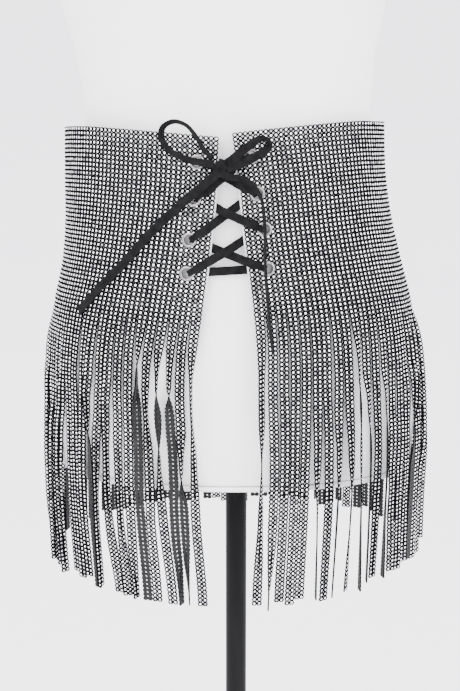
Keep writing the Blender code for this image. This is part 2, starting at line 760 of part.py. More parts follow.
def lace_end(name, eyelet_at, stops, collection, material):
    """The lace from a top eyelet's face to the knot."""
    start = eyelet_place(*eyelet_at)
    first = (stops[0].x * MM, stops[0].drop * MM)
    direction = front_direction(start, first)
    length = math.dist(start, first)
    route = []
    for along, offset in ((0.0, 0.15), (0.0, 1.5), (1.0 * MM, 2.7), (3.0 * MM, 3.4)):
        x = start[0] + along / length * (first[0] - start[0])
        drop = start[1] + along / length * (first[1] - start[1])
        route.append((front_point(x, drop, offset * MM), flat_width(x, drop, direction)))
    for stop in stops:
        x, drop = stop.x * MM, stop.drop * MM
        route.append((front_point(x, drop, stop.offset * MM), flat_width(x, drop, direction)))
    return tape(name, route, DRAWN_WIDTH, collection, material)


def knot(name, collection, material):
    """The lump of the bow's knot."""
    mesh = bpy.data.meshes.new(name)
    bm = bmesh.new()
    bmesh.ops.create_uvsphere(bm, u_segments=12, v_segments=8, radius=0.5)
    bmesh.ops.scale(bm, vec=KNOT_SIZE, verts=bm.verts)
    bm.to_mesh(mesh)
    bm.free()
    mesh.shade_smooth()
    lump = new_object(name, mesh, collection, material)
    lump.location = front_point(*KNOT_PLACE)
    return lump


def build_stand(collection, form_white, stand_black):
    """The form, its bottom plate, the pole and the foot."""
    section_loft("form_torso", FORM_RINGS, 40, collection, form_white)
    rim = FORM_RINGS[-1]
    top = FORM_BOTTOM - GAP
    plate_rings = (rim._replace(height=top), rim._replace(height=top - PLATE_THICKNESS))
    section_loft("form_bottom_plate", plate_rings, 40, collection, form_white)
    pole_top = top - PLATE_THICKNESS - GAP
    pole_bottom = SOCKET_FLOOR + GAP
    turned(
        "stand_pole",
        ((0, pole_top), (POLE_RADIUS, pole_top), (POLE_RADIUS, pole_bottom), (0, pole_bottom)),
        24,
        collection,
        stand_black,
    )
    socket = POLE_RADIUS + 2 * GAP
    turned(
        "stand_foot",
        (
            (0, SOCKET_FLOOR),
            (socket, SOCKET_FLOOR),
            (socket, HUB_TOP),
            (HUB_RADIUS - 4 * MM, HUB_TOP),
            (HUB_RADIUS, HUB_TOP - 4 * MM),
            (HUB_RADIUS + 4 * MM, FOOT_THICKNESS + 6 * MM),
            (HUB_RADIUS + 14 * MM, FOOT_THICKNESS),
            (FOOT_RADIUS - 5 * MM, FOOT_THICKNESS - 3 * MM),
            (FOOT_RADIUS, FOOT_THICKNESS - 8 * MM),
            (FOOT_RADIUS, 0),
            (0, 0),
        ),
        48,
        collection,
        stand_black,
    )


def build_belt(collection, cutters, net, tape_white, steel):
    """The wrap's two halves, their facings, the eyelets and the fringe."""
    fringe = Fringe()
    halves = {}
    for side in ("left", "right"):
        halves[side] = band_half(f"band_{side}", side, collection, net)
        facing = facing_strip(f"facing_{side}", side, collection, tape_white)
        for number in (1, 2, 3, 4):
            frame = eyelet_frame(side, number)
            punch = eyelet_punch(f"punch_{side}_{number}", frame, cutters)
            cut(halves[side], punch)
            cut(facing, punch)
            eyelet(f"eyelet_{side}_{number}", frame, collection, steel)
    middle = STRIPS // 2
    fringe_half("fringe_left", 0, middle, fringe, collection, net)
    fringe_half("fringe_right", middle, STRIPS, fringe, collection, net)


def build_lace(collection, suede):
    """The lace: its bar, its six crossings, the ends that rise to the knot, and the bow."""
    lace_bar("lace_bar", collection, suede)
    for lower, over_from_left in ((4, True), (3, False), (2, True)):
        left, right = ("left", lower), ("right", lower)
        up_right, up_left = ("right", lower - 1), ("left", lower - 1)
        crossing(f"lace_left_{lower}", left, up_right, over_from_left, collection, suede)
        crossing(f"lace_right_{lower}", right, up_left, not over_from_left, collection, suede)
    lace_end("lace_end_left", ("left", 1), TOP_LEFT_END, collection, suede)
    lace_end("lace_end_right", ("right", 1), TOP_RIGHT_END, collection, suede)
    knot("bow_knot", collection, suede)
    free_tape("bow_loop_left", LEFT_LOOP, collection, suede)
    free_tape("bow_loop_right", RIGHT_LOOP, collection, suede)
    free_tape("bow_tail_left", LEFT_TAIL, collection, suede)
    free_tape("bow_tail_right", RIGHT_TAIL, collection, suede)


def main():
    for old in list(bpy.data.objects):
        bpy.data.objects.remove(old)
    collection = bpy.data.collections.new("rhinestone_fringe_belt")
    cutters = bpy.data.collections.new("cutters")
    for made in (collection, cutters):
        bpy.context.scene.collection.children.link(made)
    form_white = new_material("form_white", (0.86, 0.86, 0.87), 0.35)
    stand_black = new_material("stand_black", (0.03, 0.03, 0.035), 0.3)
    net = new_material("rhinestone_net", (0.45, 0.45, 0.46), 0.3)
    tape_white = new_material("facing_tape", (0.8, 0.8, 0.8), 0.6)
    steel = new_material("eyelet_steel", (0.75, 0.74, 0.74), 0.25, 1.0)
    suede = new_material("black_suede", (0.03, 0.03, 0.032), 0.85)
    build_stand(collection, form_white, stand_black)
    build_belt(collection, cutters, net, tape_white, steel)
    build_lace(collection, suede)


main()
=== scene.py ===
"""Looks of a rhinestone fringe belt, laced with suede at the front of a dress form.

The belt's net is built stone by stone from one cell and laid along the same sections as its solids.
Metres, +Z up. The front faces -Y, left is -X, and the origin is on the floor under the foot's centre.
"""

import functools
import math
import random
from collections import namedtuple
from contextlib import contextmanager

import bmesh
import bpy
import numpy as np
from bpy.props import BoolProperty, FloatProperty, FloatVectorProperty, IntProperty, PointerProperty
from bpy.types import Operator, Panel, PropertyGroup
from mathutils import Matrix, Vector


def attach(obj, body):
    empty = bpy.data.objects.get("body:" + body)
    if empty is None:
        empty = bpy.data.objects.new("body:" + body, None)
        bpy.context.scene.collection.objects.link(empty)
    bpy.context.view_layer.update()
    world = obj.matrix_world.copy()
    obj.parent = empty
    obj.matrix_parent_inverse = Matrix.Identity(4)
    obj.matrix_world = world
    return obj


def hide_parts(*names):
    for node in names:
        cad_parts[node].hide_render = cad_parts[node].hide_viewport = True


bl_info = {
    "name": "Rhinestone fringe belt",
    "version": (1, 0, 0),
    "blender": (4, 5, 0),
    "location": "3D View > Sidebar > Belt",
    "description": "Builds the looks of a laced rhinestone belt with fringe on a dress form",
    "category": "Object",
}

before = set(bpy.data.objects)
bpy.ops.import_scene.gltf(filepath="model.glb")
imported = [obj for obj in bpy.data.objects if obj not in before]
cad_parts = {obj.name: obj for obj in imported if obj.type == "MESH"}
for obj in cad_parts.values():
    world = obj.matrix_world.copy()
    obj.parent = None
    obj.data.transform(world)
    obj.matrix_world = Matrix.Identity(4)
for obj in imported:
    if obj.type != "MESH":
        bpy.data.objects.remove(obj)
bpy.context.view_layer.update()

MM = 0.001
GAP = 0.3 * MM  # between pieces that touch

# The belt
BELT_TOP = 1.040
BAND_HEIGHT = 0.141
BAND_BOTTOM = BELT_TOP - BAND_HEIGHT
BELT_SLOPE = 0.015  # the belt's right side hangs a little higher
NET_THICKNESS = 2.0 * MM
FACING_THICKNESS = 1.0 * MM
SECTION_POWER = 2.2  # between an ellipse and a rounded box

# The fringe
STRIPS = 92
FRINGE_LENGTH = 0.2365
ROOT_STRIP_HEIGHT = 4.0 * MM
FRINGE_TOTAL = FRINGE_LENGTH + ROOT_STRIP_HEIGHT + GAP
STRIP_WIDTH = 8.1 * MM
STRIP_CLEARANCE = 0.1 * MM
SIDE_RISE = 0.0125  # how much higher the strips end at the sides and the back than at the front
RISE_START, RISE_SPAN = 0.03, 0.13  # as shares of the way round from a front edge
NARROWING_SHARE = 0.06  # the share of its length over which a strip narrows from its root
SLANTING_SHARE = 0.1  # the share over which its rows turn from the band's slope to its own level
# How single strips differ: turns in degrees, sways and standing off at stations, and lengths
TURN_SPREAD = 12
SWAY_SPREADS = (1.0, 2.2, 3.2)
LENGTH_SPREAD = 3.5 * MM
STAND_SPREADS = (0.6, 2.0)

# The stone net
STONE_PITCH = 4.2 * MM
ROW_PITCH = 3.52 * MM
BAND_COLUMNS = STRIPS  # in each half, two for every strip
BAND_ROWS = 40
EYELET_COLUMNS = 12  # the columns beside a front edge that the eyelets are set in
FRINGE_ROWS = 69

# The eyelets
EYELET_HOLE_RADIUS = 3.8 * MM
EYELET_BARREL_RADIUS = 4.4 * MM
EYELET_FACE_RADIUS = 6.0 * MM
EYELET_BACK_RADIUS = 5.7 * MM
PUNCHED_RADIUS = EYELET_BARREL_RADIUS + GAP

# The lace
LACE_WIDTH = 7.0 * MM
DRAWN_WIDTH = 5.2 * MM
LACE_THICKNESS = 1.3 * MM
DRAWN_IN = 1.2 * MM
KNOT_SIZE = Vector((12.5, 9.0, 14.0)) * MM
KNOT_PLACE = (-0.0119, 0.0234, 0.0080)
KNOT_CORE = (1.22, 0.9, 0.86)  # the core's width, depth and height as shares of the wrap's
KNOT_LEAN = math.radians(14)
WRAP_TURNS = (math.radians(-200), math.radians(160))
SWELL_START, SWELL_SPAN = 5.0 * MM, 7.0 * MM  # where a stretch widens between two eyelets
FLAT_POWER, DEEP_POWER = 0.55, 0.5  # how square a tape's section is
CREASE_DEPTH, CREASE_WIDTH = 0.3, 0.16
WIDTH_WAVES = ((0.02, 41, 1.3), (0.015, 97, 0.0))  # share of the width, waves and start

# The dress form and its stand
FORM_BOTTOM = 0.7545
PLATE_THICKNESS = 4.0 * MM
FOOT_RADIUS = 0.205
FOOT_THICKNESS = 14.0 * MM
POLE_RADIUS = 9.2 * MM
HUB_RADIUS = 24.0 * MM
HUB_TOP = 0.055
SOCKET_FLOOR = 0.020

# The photograph
PHOTO_HEIGHT_PX = 691
FOCAL_PX = 1587
CAMERA_X = -0.0054
CAMERA_DISTANCE = 1.333
CAMERA_ABOVE_BELT = 0.118
CAMERA_TILT = math.radians(12.97)
SENSOR_WIDTH = 36

# The stage
FLOOR_SIZE = (24, 22)
FLOOR_BACK = 2.5  # how far the floor's middle lies behind the belt
WALL_HEIGHT = 6.0
SWEEP_RADIUS = 1.2
SWEEP_STEPS = 12
LIGHT_AIM = Vector((0, 0, 0.9))

Place = namedtuple("Place", "x drop")  # across the front, and down from the belt's top, in millimetres

# The eyelets of each side, from the top
EYELETS = {
    "left": (Place(-31.1, 19.1), Place(-33.6, 47.7), Place(-37.3, 79.8), Place(-39.3, 106.3)),
    "right": (Place(11.0, 15.6), Place(15.7, 44.3), Place(21.4, 72.3), Place(23.9, 103.3)),
}

Ring = namedtuple("Ring", "height half_width front back centre_x")

BELT_RINGS = (
    Ring(1.0400, 0.1326, 0.1010, 0.1000, -0.0100),
    Ring(0.9980, 0.1341, 0.1028, 0.1020, -0.0093),
    Ring(0.9626, 0.1371, 0.1045, 0.1060, -0.0068),
    Ring(0.9276, 0.1431, 0.1065, 0.1125, -0.0043),
    Ring(0.8990, 0.1502, 0.1080, 0.1180, -0.0036),
    Ring(0.8526, 0.1557, 0.1090, 0.1245, -0.0016),
    Ring(0.8076, 0.1576, 0.1100, 0.1270, 0.0002),
    Ring(0.7626, 0.1589, 0.1110, 0.1280, 0.0003),
    Ring(0.7126, 0.1580, 0.1115, 0.1280, -0.0006),
    Ring(0.6400, 0.1560, 0.1115, 0.1265, 0.0000),
)

FORM_RINGS = (
    Ring(1.5300, 0.0540, 0.0500, 0.0560, -0.0120),
    Ring(1.5000, 0.0545, 0.0500, 0.0580, -0.0120),
    Ring(1.4740, 0.0600, 0.0520, 0.0640, -0.0120),
    Ring(1.4560, 0.0830, 0.0560, 0.0720, -0.0120),
    Ring(1.4380, 0.1220, 0.0640, 0.0820, -0.0120),
    Ring(1.4160, 0.1540, 0.0760, 0.0920, -0.0120),
    Ring(1.3850, 0.1700, 0.0920, 0.1000, -0.0120),
    Ring(1.3400, 0.1690, 0.1100, 0.1050, -0.0120),
    Ring(1.2950, 0.1600, 0.1240, 0.1070, -0.0120),
    Ring(1.2500, 0.1520, 0.1280, 0.1060, -0.0115),
    Ring(1.2050, 0.1440, 0.1180, 0.1040, -0.0110),
    Ring(1.1420, 0.1330, 0.1000, 0.0980, -0.0110),
    Ring(1.0950, 0.1225, 0.0925, 0.0910, -0.0090),
    Ring(1.0486, 0.1188, 0.0900, 0.0880, -0.0070),
    Ring(1.0150, 0.1215, 0.0910, 0.0895, -0.0060),
    Ring(0.9800, 0.1285, 0.0935, 0.0950, -0.0050),
    Ring(0.9400, 0.1362, 0.0965, 0.1045, -0.0050),
    Ring(0.8990, 0.1470, 0.0990, 0.1164, -0.0034),
    Ring(0.8600, 0.1527, 0.1000, 0.1205, -0.0018),
    Ring(0.8200, 0.1550, 0.1005, 0.1228, -0.0005),
    Ring(0.7900, 0.1545, 0.1000, 0.1220, 0.0000),
    Ring(FORM_BOTTOM, 0.1510, 0.0975, 0.1170, 0.0000),
)

FrontEdge = namedtuple("FrontEdge", "height left_x right_x")

FRONT_EDGES = (
    FrontEdge(1.0400, -0.0139, -0.0037),
    FrontEdge(0.9990, -0.0163, 0.0024),
    FrontEdge(0.9630, -0.0200, 0.0060),
    FrontEdge(0.9340, -0.0234, 0.0096),
    FrontEdge(0.8990, -0.0277, 0.0136),
    FrontEdge(0.8754, -0.0302, 0.0151),
    FrontEdge(0.8374, -0.0314, 0.0152),
    FrontEdge(0.7880, -0.0296, 0.0155),
    FrontEdge(0.7325, -0.0282, 0.0145),
    FrontEdge(0.6576, -0.0230, 0.0119),
    FrontEdge(0.6400, -0.0228, 0.0115),
)

# How much higher the net hangs, in millimetres, at shares of the way round from each front edge
RISE_SHARES = (0.0, 0.030, 0.062, 0.090, 0.121, 0.150, 0.178, 0.225, 0.262, 0.300, 0.350, 0.420, 0.500)
LEFT_RISES = (0.0, 2.0, 4.0, 5.3, 6.2, 6.4, 5.4, 2.1, -1.4, -3.4, -3.0, -1.4, -1.0)
RIGHT_RISES = (2.9, 4.9, 6.4, 7.4, 7.8, 7.4, 5.6, 2.1, -1.4, -3.0, -2.6, -1.4, -1.0)

StripTurn = namedtuple("StripTurn", "quarter third half two_thirds end")

# How far the strips beside the front opening turn on their way down, in degrees, from the opening on
LEFT_FRONT_TURNS = (
    StripTurn(85, 90, 60, 20, 0),
    StripTurn(0, 0, 80, 170, 100),
    StripTurn(-50, -150, -172, -168, -105),
    StripTurn(95, 150, 90, 20, 0),
    StripTurn(60, 85, 35, 10, 0),
    StripTurn(-80, -150, -175, -180, -180),
    StripTurn(0, 5, 15, 10, 80),
    StripTurn(0, 10, 60, 80, 30),
)
RIGHT_FRONT_TURNS = (
    StripTurn(50, 50, 85, 60, 0),
    StripTurn(0, 0, 5, 10, 85),
    StripTurn(0, 0, 0, 5, 0),
    StripTurn(0, -5, 0, 5, 10),
    StripTurn(0, 0, 5, 5, 0),
    StripTurn(0, 0, 25, 70, 78),
    StripTurn(0, 5, 0, 10, 20),
    StripTurn(0, 0, 35, 70, 68),
    StripTurn(0, 0, 25, 64, 45),
    StripTurn(50, 66, 50, 60, 72),
    StripTurn(0, 40, 62, 58, 60),
    StripTurn(0, 0, 5, 0, 10),
    StripTurn(10, 40, 54, 50, 66),
)
# The ways that the other strips hang, and how many of each there are among twenty
COMMON_TURNS = (
    (9, StripTurn(0, 5, 8, 5, 10)),
    (3, StripTurn(20, 70, 90, 70, 15)),
    (3, StripTurn(5, 20, 60, 90, 95)),
    (2, StripTurn(60, 90, 60, 20, 5)),
    (3, StripTurn(40, 100, 160, 180, 175)),
)
TURN_STATIONS = (0.0, 0.22, 0.34, 0.50, 0.68, 1.0)


def smooth(table, height):
    """The columns of a table at a height, on a smooth curve through its rows, which run from the top down."""
    rows = np.array(table, float)
    heights = rows[:, 0]
    height = min(max(height, heights[-1]), heights[0])
    slopes = np.gradient(rows[:, 1:], heights, axis=0)
    low = min(int(np.searchsorted(-heights, -height, side="right")), len(rows) - 1)
    high = low - 1
    span = heights[low] - heights[high]
    t = (height - heights[high]) / span
    start, end = rows[high, 1:], rows[low, 1:]
    return (
        (2 * t**3 - 3 * t**2 + 1) * start
        + (t**3 - 2 * t**2 + t) * span * slopes[high]
        + (3 * t**2 - 2 * t**3) * end
        + (t**3 - t**2) * span * slopes[low]
    )


def section_points(ring, turns):
    """Points of a closed section. Turns grow from the front at 0 to the left, the back and the right."""
    half_width, front, back, centre_x = ring
    across, along = np.sin(turns), np.cos(turns)
    reach = 2 / SECTION_POWER
    x = centre_x - half_width * np.sign(across) * np.abs(across) ** reach
    y = -np.where(along > 0, front, back) * np.sign(along) * np.abs(along) ** reach
    return np.stack([x, y], axis=-1)


class BeltRing:
    """One level section of the belt, measured along its girth from the middle of the front to the left."""

    SAMPLES = 1440

    def __init__(self, height):
        self.height = height
        ring = smooth(BELT_RINGS, height)
        self.points = section_points(ring, np.linspace(0, 2 * math.pi, self.SAMPLES + 1))
        steps = np.linalg.norm(np.diff(self.points, axis=0), axis=1)
        self.lengths = np.concatenate([[0], np.cumsum(steps)])
        self.girth = self.lengths[-1]
        left_x, right_x = smooth(FRONT_EDGES, height)
        self.left_edge, self.right_edge = self.along_at(left_x, "left"), self.along_at(right_x, "right")

    def along_at(self, x, side):
        """The length along the girth at an x in a side's half of the front."""
        quarter = self.SAMPLES // 4
        part = slice(0, quarter) if side == "left" else slice(self.SAMPLES - quarter, None)
        return float(np.interp(-x, -self.points[part, 0], self.lengths[part]))

    def place(self, along):
        """(point, direction of growing girth, outward direction) at lengths along the girth."""
        along = np.asarray(along, float) % self.girth
        step = self.girth / self.SAMPLES
        point, before, after = (
            np.stack([np.interp(at % self.girth, self.lengths, self.points[:, k]) for k in (0, 1)], -1)
            for at in (along, along - step, along + step)
        )
        tangent = after - before
        tangent /= np.linalg.norm(tangent, axis=-1, keepdims=True)
        outward = np.stack([-tangent[..., 1], tangent[..., 0]], -1)
        return point, tangent, outward

    def across(self, share):
        """The length along the girth at a share of the way round from the left front edge to the right."""
        return self.left_edge + share * (self.right_edge - self.left_edge)


@functools.cache
def belt_ring(height):
    return BeltRing(height)


def rim_rise(share):
    """How much higher the net hangs at a share of the way round than at the left front corner."""
    rises = LEFT_RISES if share <= 0.5 else RIGHT_RISES
    table = [(-at, rise) for at, rise in zip(RISE_SHARES, rises)]
    return float(smooth(table, -min(share, 1 - share))[0]) * MM


class Wall:
    """The belt's wall as a table of places, read by the share of the way round and the height."""

    HEIGHT_STEP = 0.004

    def __init__(self):
        self.shares = np.linspace(0, 1, 8 * STRIPS + 1)
        self.heights = np.arange(0.640, 1.052, self.HEIGHT_STEP)
        rings = [belt_ring(round(float(height), 6)) for height in self.heights]
        self.table = np.array([np.hstack(ring.place(ring.across(self.shares))[::2]) for ring in rings])
        self.rises = np.array([rim_rise(share) for share in self.shares])

    def rise(self, share):
        return np.interp(share, self.shares, self.rises)

    def place(self, share, height):
        """(point, outward direction) where the wall has a share and a height."""
        column = np.clip(share * (len(self.shares) - 1), 0, len(self.shares) - 1.001)
        row = np.clip((height - self.heights[0]) / self.HEIGHT_STEP, 0, len(self.heights) - 1.001)
        i, j = row.astype(int), column.astype(int)
        s, t = (row - i)[:, None], (column - j)[:, None]
        low = self.table[i, j] * (1 - t) + self.table[i, j + 1] * t
        high = self.table[i + 1, j] * (1 - t) + self.table[i + 1, j + 1] * t
        found = low * (1 - s) + high * s
        outward = found[:, 2:] / np.linalg.norm(found[:, 2:], axis=1, keepdims=True)
        return found[:, :2], outward


def raised(points, heights):
    """Plan points as points in space, on the belt's slight slope."""
    return np.column_stack([points, heights + BELT_SLOPE * points[:, 0]])


def front_surface(x, drop):
    """A point of the middle of the front's wall, by its x and its drop below the belt's top."""
    height = BELT_TOP - drop
    half_width, front, _, centre_x = (float(value) for value in smooth(BELT_RINGS, height))
    share = min(abs(x - centre_x) / half_width, 0.999)
    y = -front * (1 - share**SECTION_POWER) ** (1 / SECTION_POWER)
    return Vector((x, y, height + BELT_SLOPE * x))


def front_normal(x, drop):
    """The direction out of the front at an x and a drop."""
    across = front_surface(x + MM, drop) - front_surface(x - MM, drop)
    down = front_surface(x, drop + MM) - front_surface(x, drop - MM)
    return down.cross(across).normalized()


def front_point(x, drop, offset):
    """A point at an offset out of the front's wall."""
    return front_surface(x, drop) + offset * front_normal(x, drop)


def turning(station_values, share):
    """A strip's turn at a share of its length, easing from one station to the next."""
    values = np.concatenate([[0.0], station_values])
    at = int(np.clip(np.searchsorted(TURN_STATIONS, share, side="right") - 1, 0, len(values) - 2))
    t = (share - TURN_STATIONS[at]) / (TURN_STATIONS[at + 1] - TURN_STATIONS[at])
    t = t * t * (3 - 2 * t)
    return values[at] + (values[at + 1] - values[at]) * t


class Fringe:
    """Where each strip hangs: its place along the girth, its turn and its distance from the form."""

    def __init__(self, wall):
        chance = random.Random(11)
        ways = [turn for count, turn in COMMON_TURNS for _ in range(count)]
        self.turns, self.sways, self.lengths, self.stands = [], [], [], []
        for i in range(STRIPS):
            way = np.array(chance.choice(ways), float)
            share = (i + 0.5) / STRIPS
            if 0.3 < share < 0.7:
                way *= chance.choice((-1, 1))
            elif share > 0.5:
                way *= -1
            way += np.array([chance.uniform(-TURN_SPREAD, TURN_SPREAD) for _ in way])
            if i < len(LEFT_FRONT_TURNS):
                way = np.array(LEFT_FRONT_TURNS[i], float)
            if STRIPS - 1 - i < len(RIGHT_FRONT_TURNS):
                way = np.array(RIGHT_FRONT_TURNS[STRIPS - 1 - i], float)
            self.turns.append(np.radians(way))
            self.sways.append([chance.uniform(-1, 1) * reach * MM for reach in SWAY_SPREADS])
            self.lengths.append(chance.uniform(-LENGTH_SPREAD, LENGTH_SPREAD))
            self.stands.append([chance.uniform(0, reach) * MM for reach in STAND_SPREADS])
        self.sways[0] = self.sways[-1] = [0, 0, 0]
        self.wall = wall
        self.rises = wall.rise((np.arange(STRIPS) + 0.5) / STRIPS)

    def height(self, share):
        """The height of each strip's middle line at a share of its length."""
        root = BAND_BOTTOM - GAP - ROOT_STRIP_HEIGHT
        share_around = (np.arange(STRIPS) + 0.5) / STRIPS
        from_edge = np.minimum(share_around, 1 - share_around)
        risen = np.clip((from_edge - RISE_START) / RISE_SPAN, 0, 1)
        ends = FRINGE_LENGTH - SIDE_RISE * risen**2 * (3 - 2 * risen) + np.array(self.lengths)
        return root + (1 - max(share, 0)) * self.rises - share * np.where(share > 0, ends, FRINGE_LENGTH)

    def level(self, share):
        """The strips' centres, heights, width, spread and facing directions at a share of their length."""
        heights = self.height(share)
        ring = belt_ring(round(float(heights.mean()), 6))
        below = max(share, 0.0)
        angles = np.array([turning(turn, below) for turn in self.turns])
        pitch = (ring.right_edge - ring.left_edge) / STRIPS
        width = max(STRIP_WIDTH, (1 - below / NARROWING_SHARE) * (pitch - STRIP_CLEARANCE))
        half = width / 2
        sway = np.array([np.interp(below, (0, 0.25, 0.6, 1), (0, *keys)) for keys in self.sways])
        stand = np.array([np.interp(below, (0, 0.3, 1), (0, *keys)) for keys in self.stands])
        places = ring.across((np.arange(STRIPS) + 0.5) / STRIPS) + sway
        reach = half * np.abs(np.cos(angles)) + NET_THICKNESS / 2 * np.abs(np.sin(angles))
        room = reach[:-1] + reach[1:] + STRIP_CLEARANCE
        for _ in range(200):
            short = np.maximum(room - np.diff(places), 0) / 2
            if short.max() < 1e-6:
                break
            places[:-1] -= short
            places[1:] += short
        shares = (places - ring.left_edge) / (ring.right_edge - ring.left_edge)
        point, outward = self.wall.place(shares, heights)
        tangent = np.stack([outward[:, 1], -outward[:, 0]], -1)
        point = point + outward * (stand + half * np.abs(np.sin(angles)))[:, None]
        spread = tangent * np.cos(angles)[:, None] + outward * np.sin(angles)[:, None]
        facing = outward * np.cos(angles)[:, None] - tangent * np.sin(angles)[:, None]
        return point, heights, width, spread, facing


def reckoning(operation, swapped=False):
    """A method that links a maths node to its own number and another."""

    def reckon(self, other):
        first, second = (other, self) if swapped else (self, other)
        node = self.finish.node("ShaderNodeMath", {"operation": operation}, {0: first, 1: second})
        return Number(self.finish, node.outputs[0])

    return reckon


class Number:
    """A socket's number in shader maths, written as Python expressions."""

    def __init__(self, finish, socket):
        self.finish, self.socket = finish, socket

    __add__, __radd__ = reckoning("ADD"), reckoning("ADD", swapped=True)
    __sub__, __rsub__ = reckoning("SUBTRACT"), reckoning("SUBTRACT", swapped=True)
    __mul__, __rmul__ = reckoning("MULTIPLY"), reckoning("MULTIPLY", swapped=True)
    __pow__ = reckoning("POWER")


class Finish:
    """A material and the nodes that vary its surface."""

    def __init__(self, name, colour, roughness, metallic=0.0, **constants):
        self.material = bpy.data.materials.new(name)
        self.material.use_nodes = True
        self.material.diffuse_color = (*colour[:3], 1)
        self.tree = self.material.node_tree
        self.shader = self.tree.nodes["Principled BSDF"]
        sockets = {"Base Color": (*colour[:3], 1), "Roughness": roughness, "Metallic": metallic, **constants}
        self.fill(self.shader, sockets)

    def fill(self, node, sockets):
        for key, value in sockets.items():
            if isinstance(value, Number):
                self.tree.links.new(value.socket, node.inputs[key])
            elif isinstance(value, bpy.types.NodeSocket):
                self.tree.links.new(value, node.inputs[key])
            else:
                node.inputs[key].default_value = value

    def node(self, kind, settings=None, sockets=None):
        """Adds a node, sets its settings first, and then fills or links its sockets."""
        node = self.tree.nodes.new(kind)
        for key, value in (settings or {}).items():
            if key == "stops":
                ramp = node.color_ramp
                for at, (position, colour) in enumerate(value):
                    stop = ramp.elements[at] if at < 2 else ramp.elements.new(position)
                    stop.position, stop.color = position, (*colour, 1)
            else:
                setattr(node, key, value)
        self.fill(node, sockets or {})
        return node

    def place(self):
        return self.node("ShaderNodeTexCoord").outputs["Object"]

    def noise(self, scale, detail=2.0, stretch=None):
        vector = self.place()
        if stretch:
            vector = self.node("ShaderNodeMapping", None, {"Vector": vector, "Scale": stretch}).outputs[0]
        made = self.node("ShaderNodeTexNoise", None, {"Vector": vector, "Scale": scale, "Detail": detail})
        return Number(self, made.outputs["Fac"])

    def attribute(self, name):
        return Number(self, self.node("ShaderNodeAttribute", {"attribute_name": name}).outputs["Fac"])

    def uv(self):
        """The place on a piece's own UV map, as two numbers."""
        place = self.node("ShaderNodeTexCoord").outputs["UV"]
        split = self.node("ShaderNodeSeparateXYZ", None, {"Vector": place})
        return Number(self, split.outputs["X"]), Number(self, split.outputs["Y"])

    def ramp(self, value, *stops):
        return self.node("ShaderNodeValToRGB", {"stops": stops}, {"Fac": value}).outputs["Color"]

    def vary(self, socket, value):
        self.fill(self.shader, {socket: value})

    def shade(self, value, *stops):
        self.vary("Base Color", self.ramp(value, *stops))

    def bump(self, height, distance, strength=1.0):
        sockets = {"Height": height, "Distance": distance, "Strength": strength}
        self.vary("Normal", self.node("ShaderNodeBump", None, sockets).outputs["Normal"])


@functools.cache
def crystal_finish():
    """Clear foiled stones: silver white, with a painted glint that makes each a little lighter or darker, and
    now and then a painted cold or warm reflection.
    """
    finish = Finish("crystal_stone", (0.9, 0.9, 0.92), 0.12, 0.8)
    glint = finish.attribute("glint")
    # Painted glint: each stone's highlight is painted into its colour, from grey to white, with painted warm
    # and cold reflections at the top.
    stops = (
        (0.0, (0.24, 0.24, 0.26)),
        (0.12, (0.50, 0.50, 0.52)),
        (0.3, (0.86, 0.86, 0.86)),
        (0.9, (1.0, 1.0, 1.0)),
        (0.95, (1.0, 0.95, 0.90)),
        (1.0, (0.86, 0.90, 1.0)),
    )
    finish.shade(glint, *stops)
    finish.vary("Roughness", 0.06 + 0.2 * finish.attribute("wear"))
    return finish.material


@functools.cache
def net_finish():
    """The black net's moulded cups, domed behind each stone."""
    finish = Finish("black_net", (0.002, 0.002, 0.002), 0.8, **{"Specular IOR Level": 0.015})
    grain = finish.noise(1800, 2)
    finish.shade(grain, (0.3, (0.001, 0.001, 0.0012)), (0.8, (0.005, 0.005, 0.0055)))
    finish.vary("Roughness", 0.72 + 0.25 * grain)
    across, along = finish.uv()
    across, along = (across - 0.5) * (STONE_PITCH / MM), (along - 0.5) * (ROW_PITCH / MM)
    reach = (across**2.0 + along**2.0) ** 0.5
    dome = ((0.0, 1.0), (0.42, 0.92), (0.72, 0.55), (0.9, 0.0))  # half the reach from the middle, height
    finish.bump(finish.ramp(reach * 0.5, *((at, (height,) * 3) for at, height in dome)), 0.6 * MM)
    return finish.material


@functools.cache
def cup_back_finish():
    """The backs of the cups: the black net painted lighter grey as a painted highlight, with rubbed mottling.
    """
    finish = Finish("cup_back_painted_highlight", (0.014, 0.014, 0.014), 0.6, **{"Specular IOR Level": 0.1})
    rubbed = finish.noise(700, 3)
    # Painted highlight: the lighter grey stands in for light catching the black cups' backs.
    finish.shade(rubbed, (0.35, (0.006, 0.006, 0.0062)), (0.65, (0.022, 0.022, 0.0225)))
    finish.vary("Roughness", 0.5 + 0.3 * rubbed)
    finish.bump(rubbed, 0.05 * MM, 0.4)
    return finish.material


@functools.cache
def suede_finish():
    """Matte black suede with a short nap."""
    sockets = {"Specular IOR Level": 0.05, "Sheen Weight": 0.02, "Sheen Roughness": 0.5}
    finish = Finish("black_suede", (0.004, 0.004, 0.004), 0.9, **sockets)
    patches = finish.noise(160, 3)
    nap = finish.noise(2600, 3)
    shade = 0.55 * patches + 0.45 * nap
    finish.shade(shade, (0.32, (0.0012, 0.0012, 0.0013)), (0.7, (0.009, 0.009, 0.0095)))
    finish.vary("Roughness", 0.82 + 0.14 * nap)
    finish.bump(nap + 0.6 * patches, 0.12 * MM, 0.7)
    return finish.material


@functools.cache
def eyelet_finish():
    """Nickel with fine handling marks."""
    finish = Finish("eyelet_nickel", (0.22, 0.21, 0.21), 0.22, 1.0)
    marks = finish.noise(900, 4)
    finish.shade(marks, (0.35, (0.12, 0.11, 0.11)), (0.65, (0.30, 0.28, 0.28)))
    finish.vary("Roughness", 0.14 + 0.22 * marks)
    finish.bump(marks, 0.03 * MM, 0.4)
    return finish.material


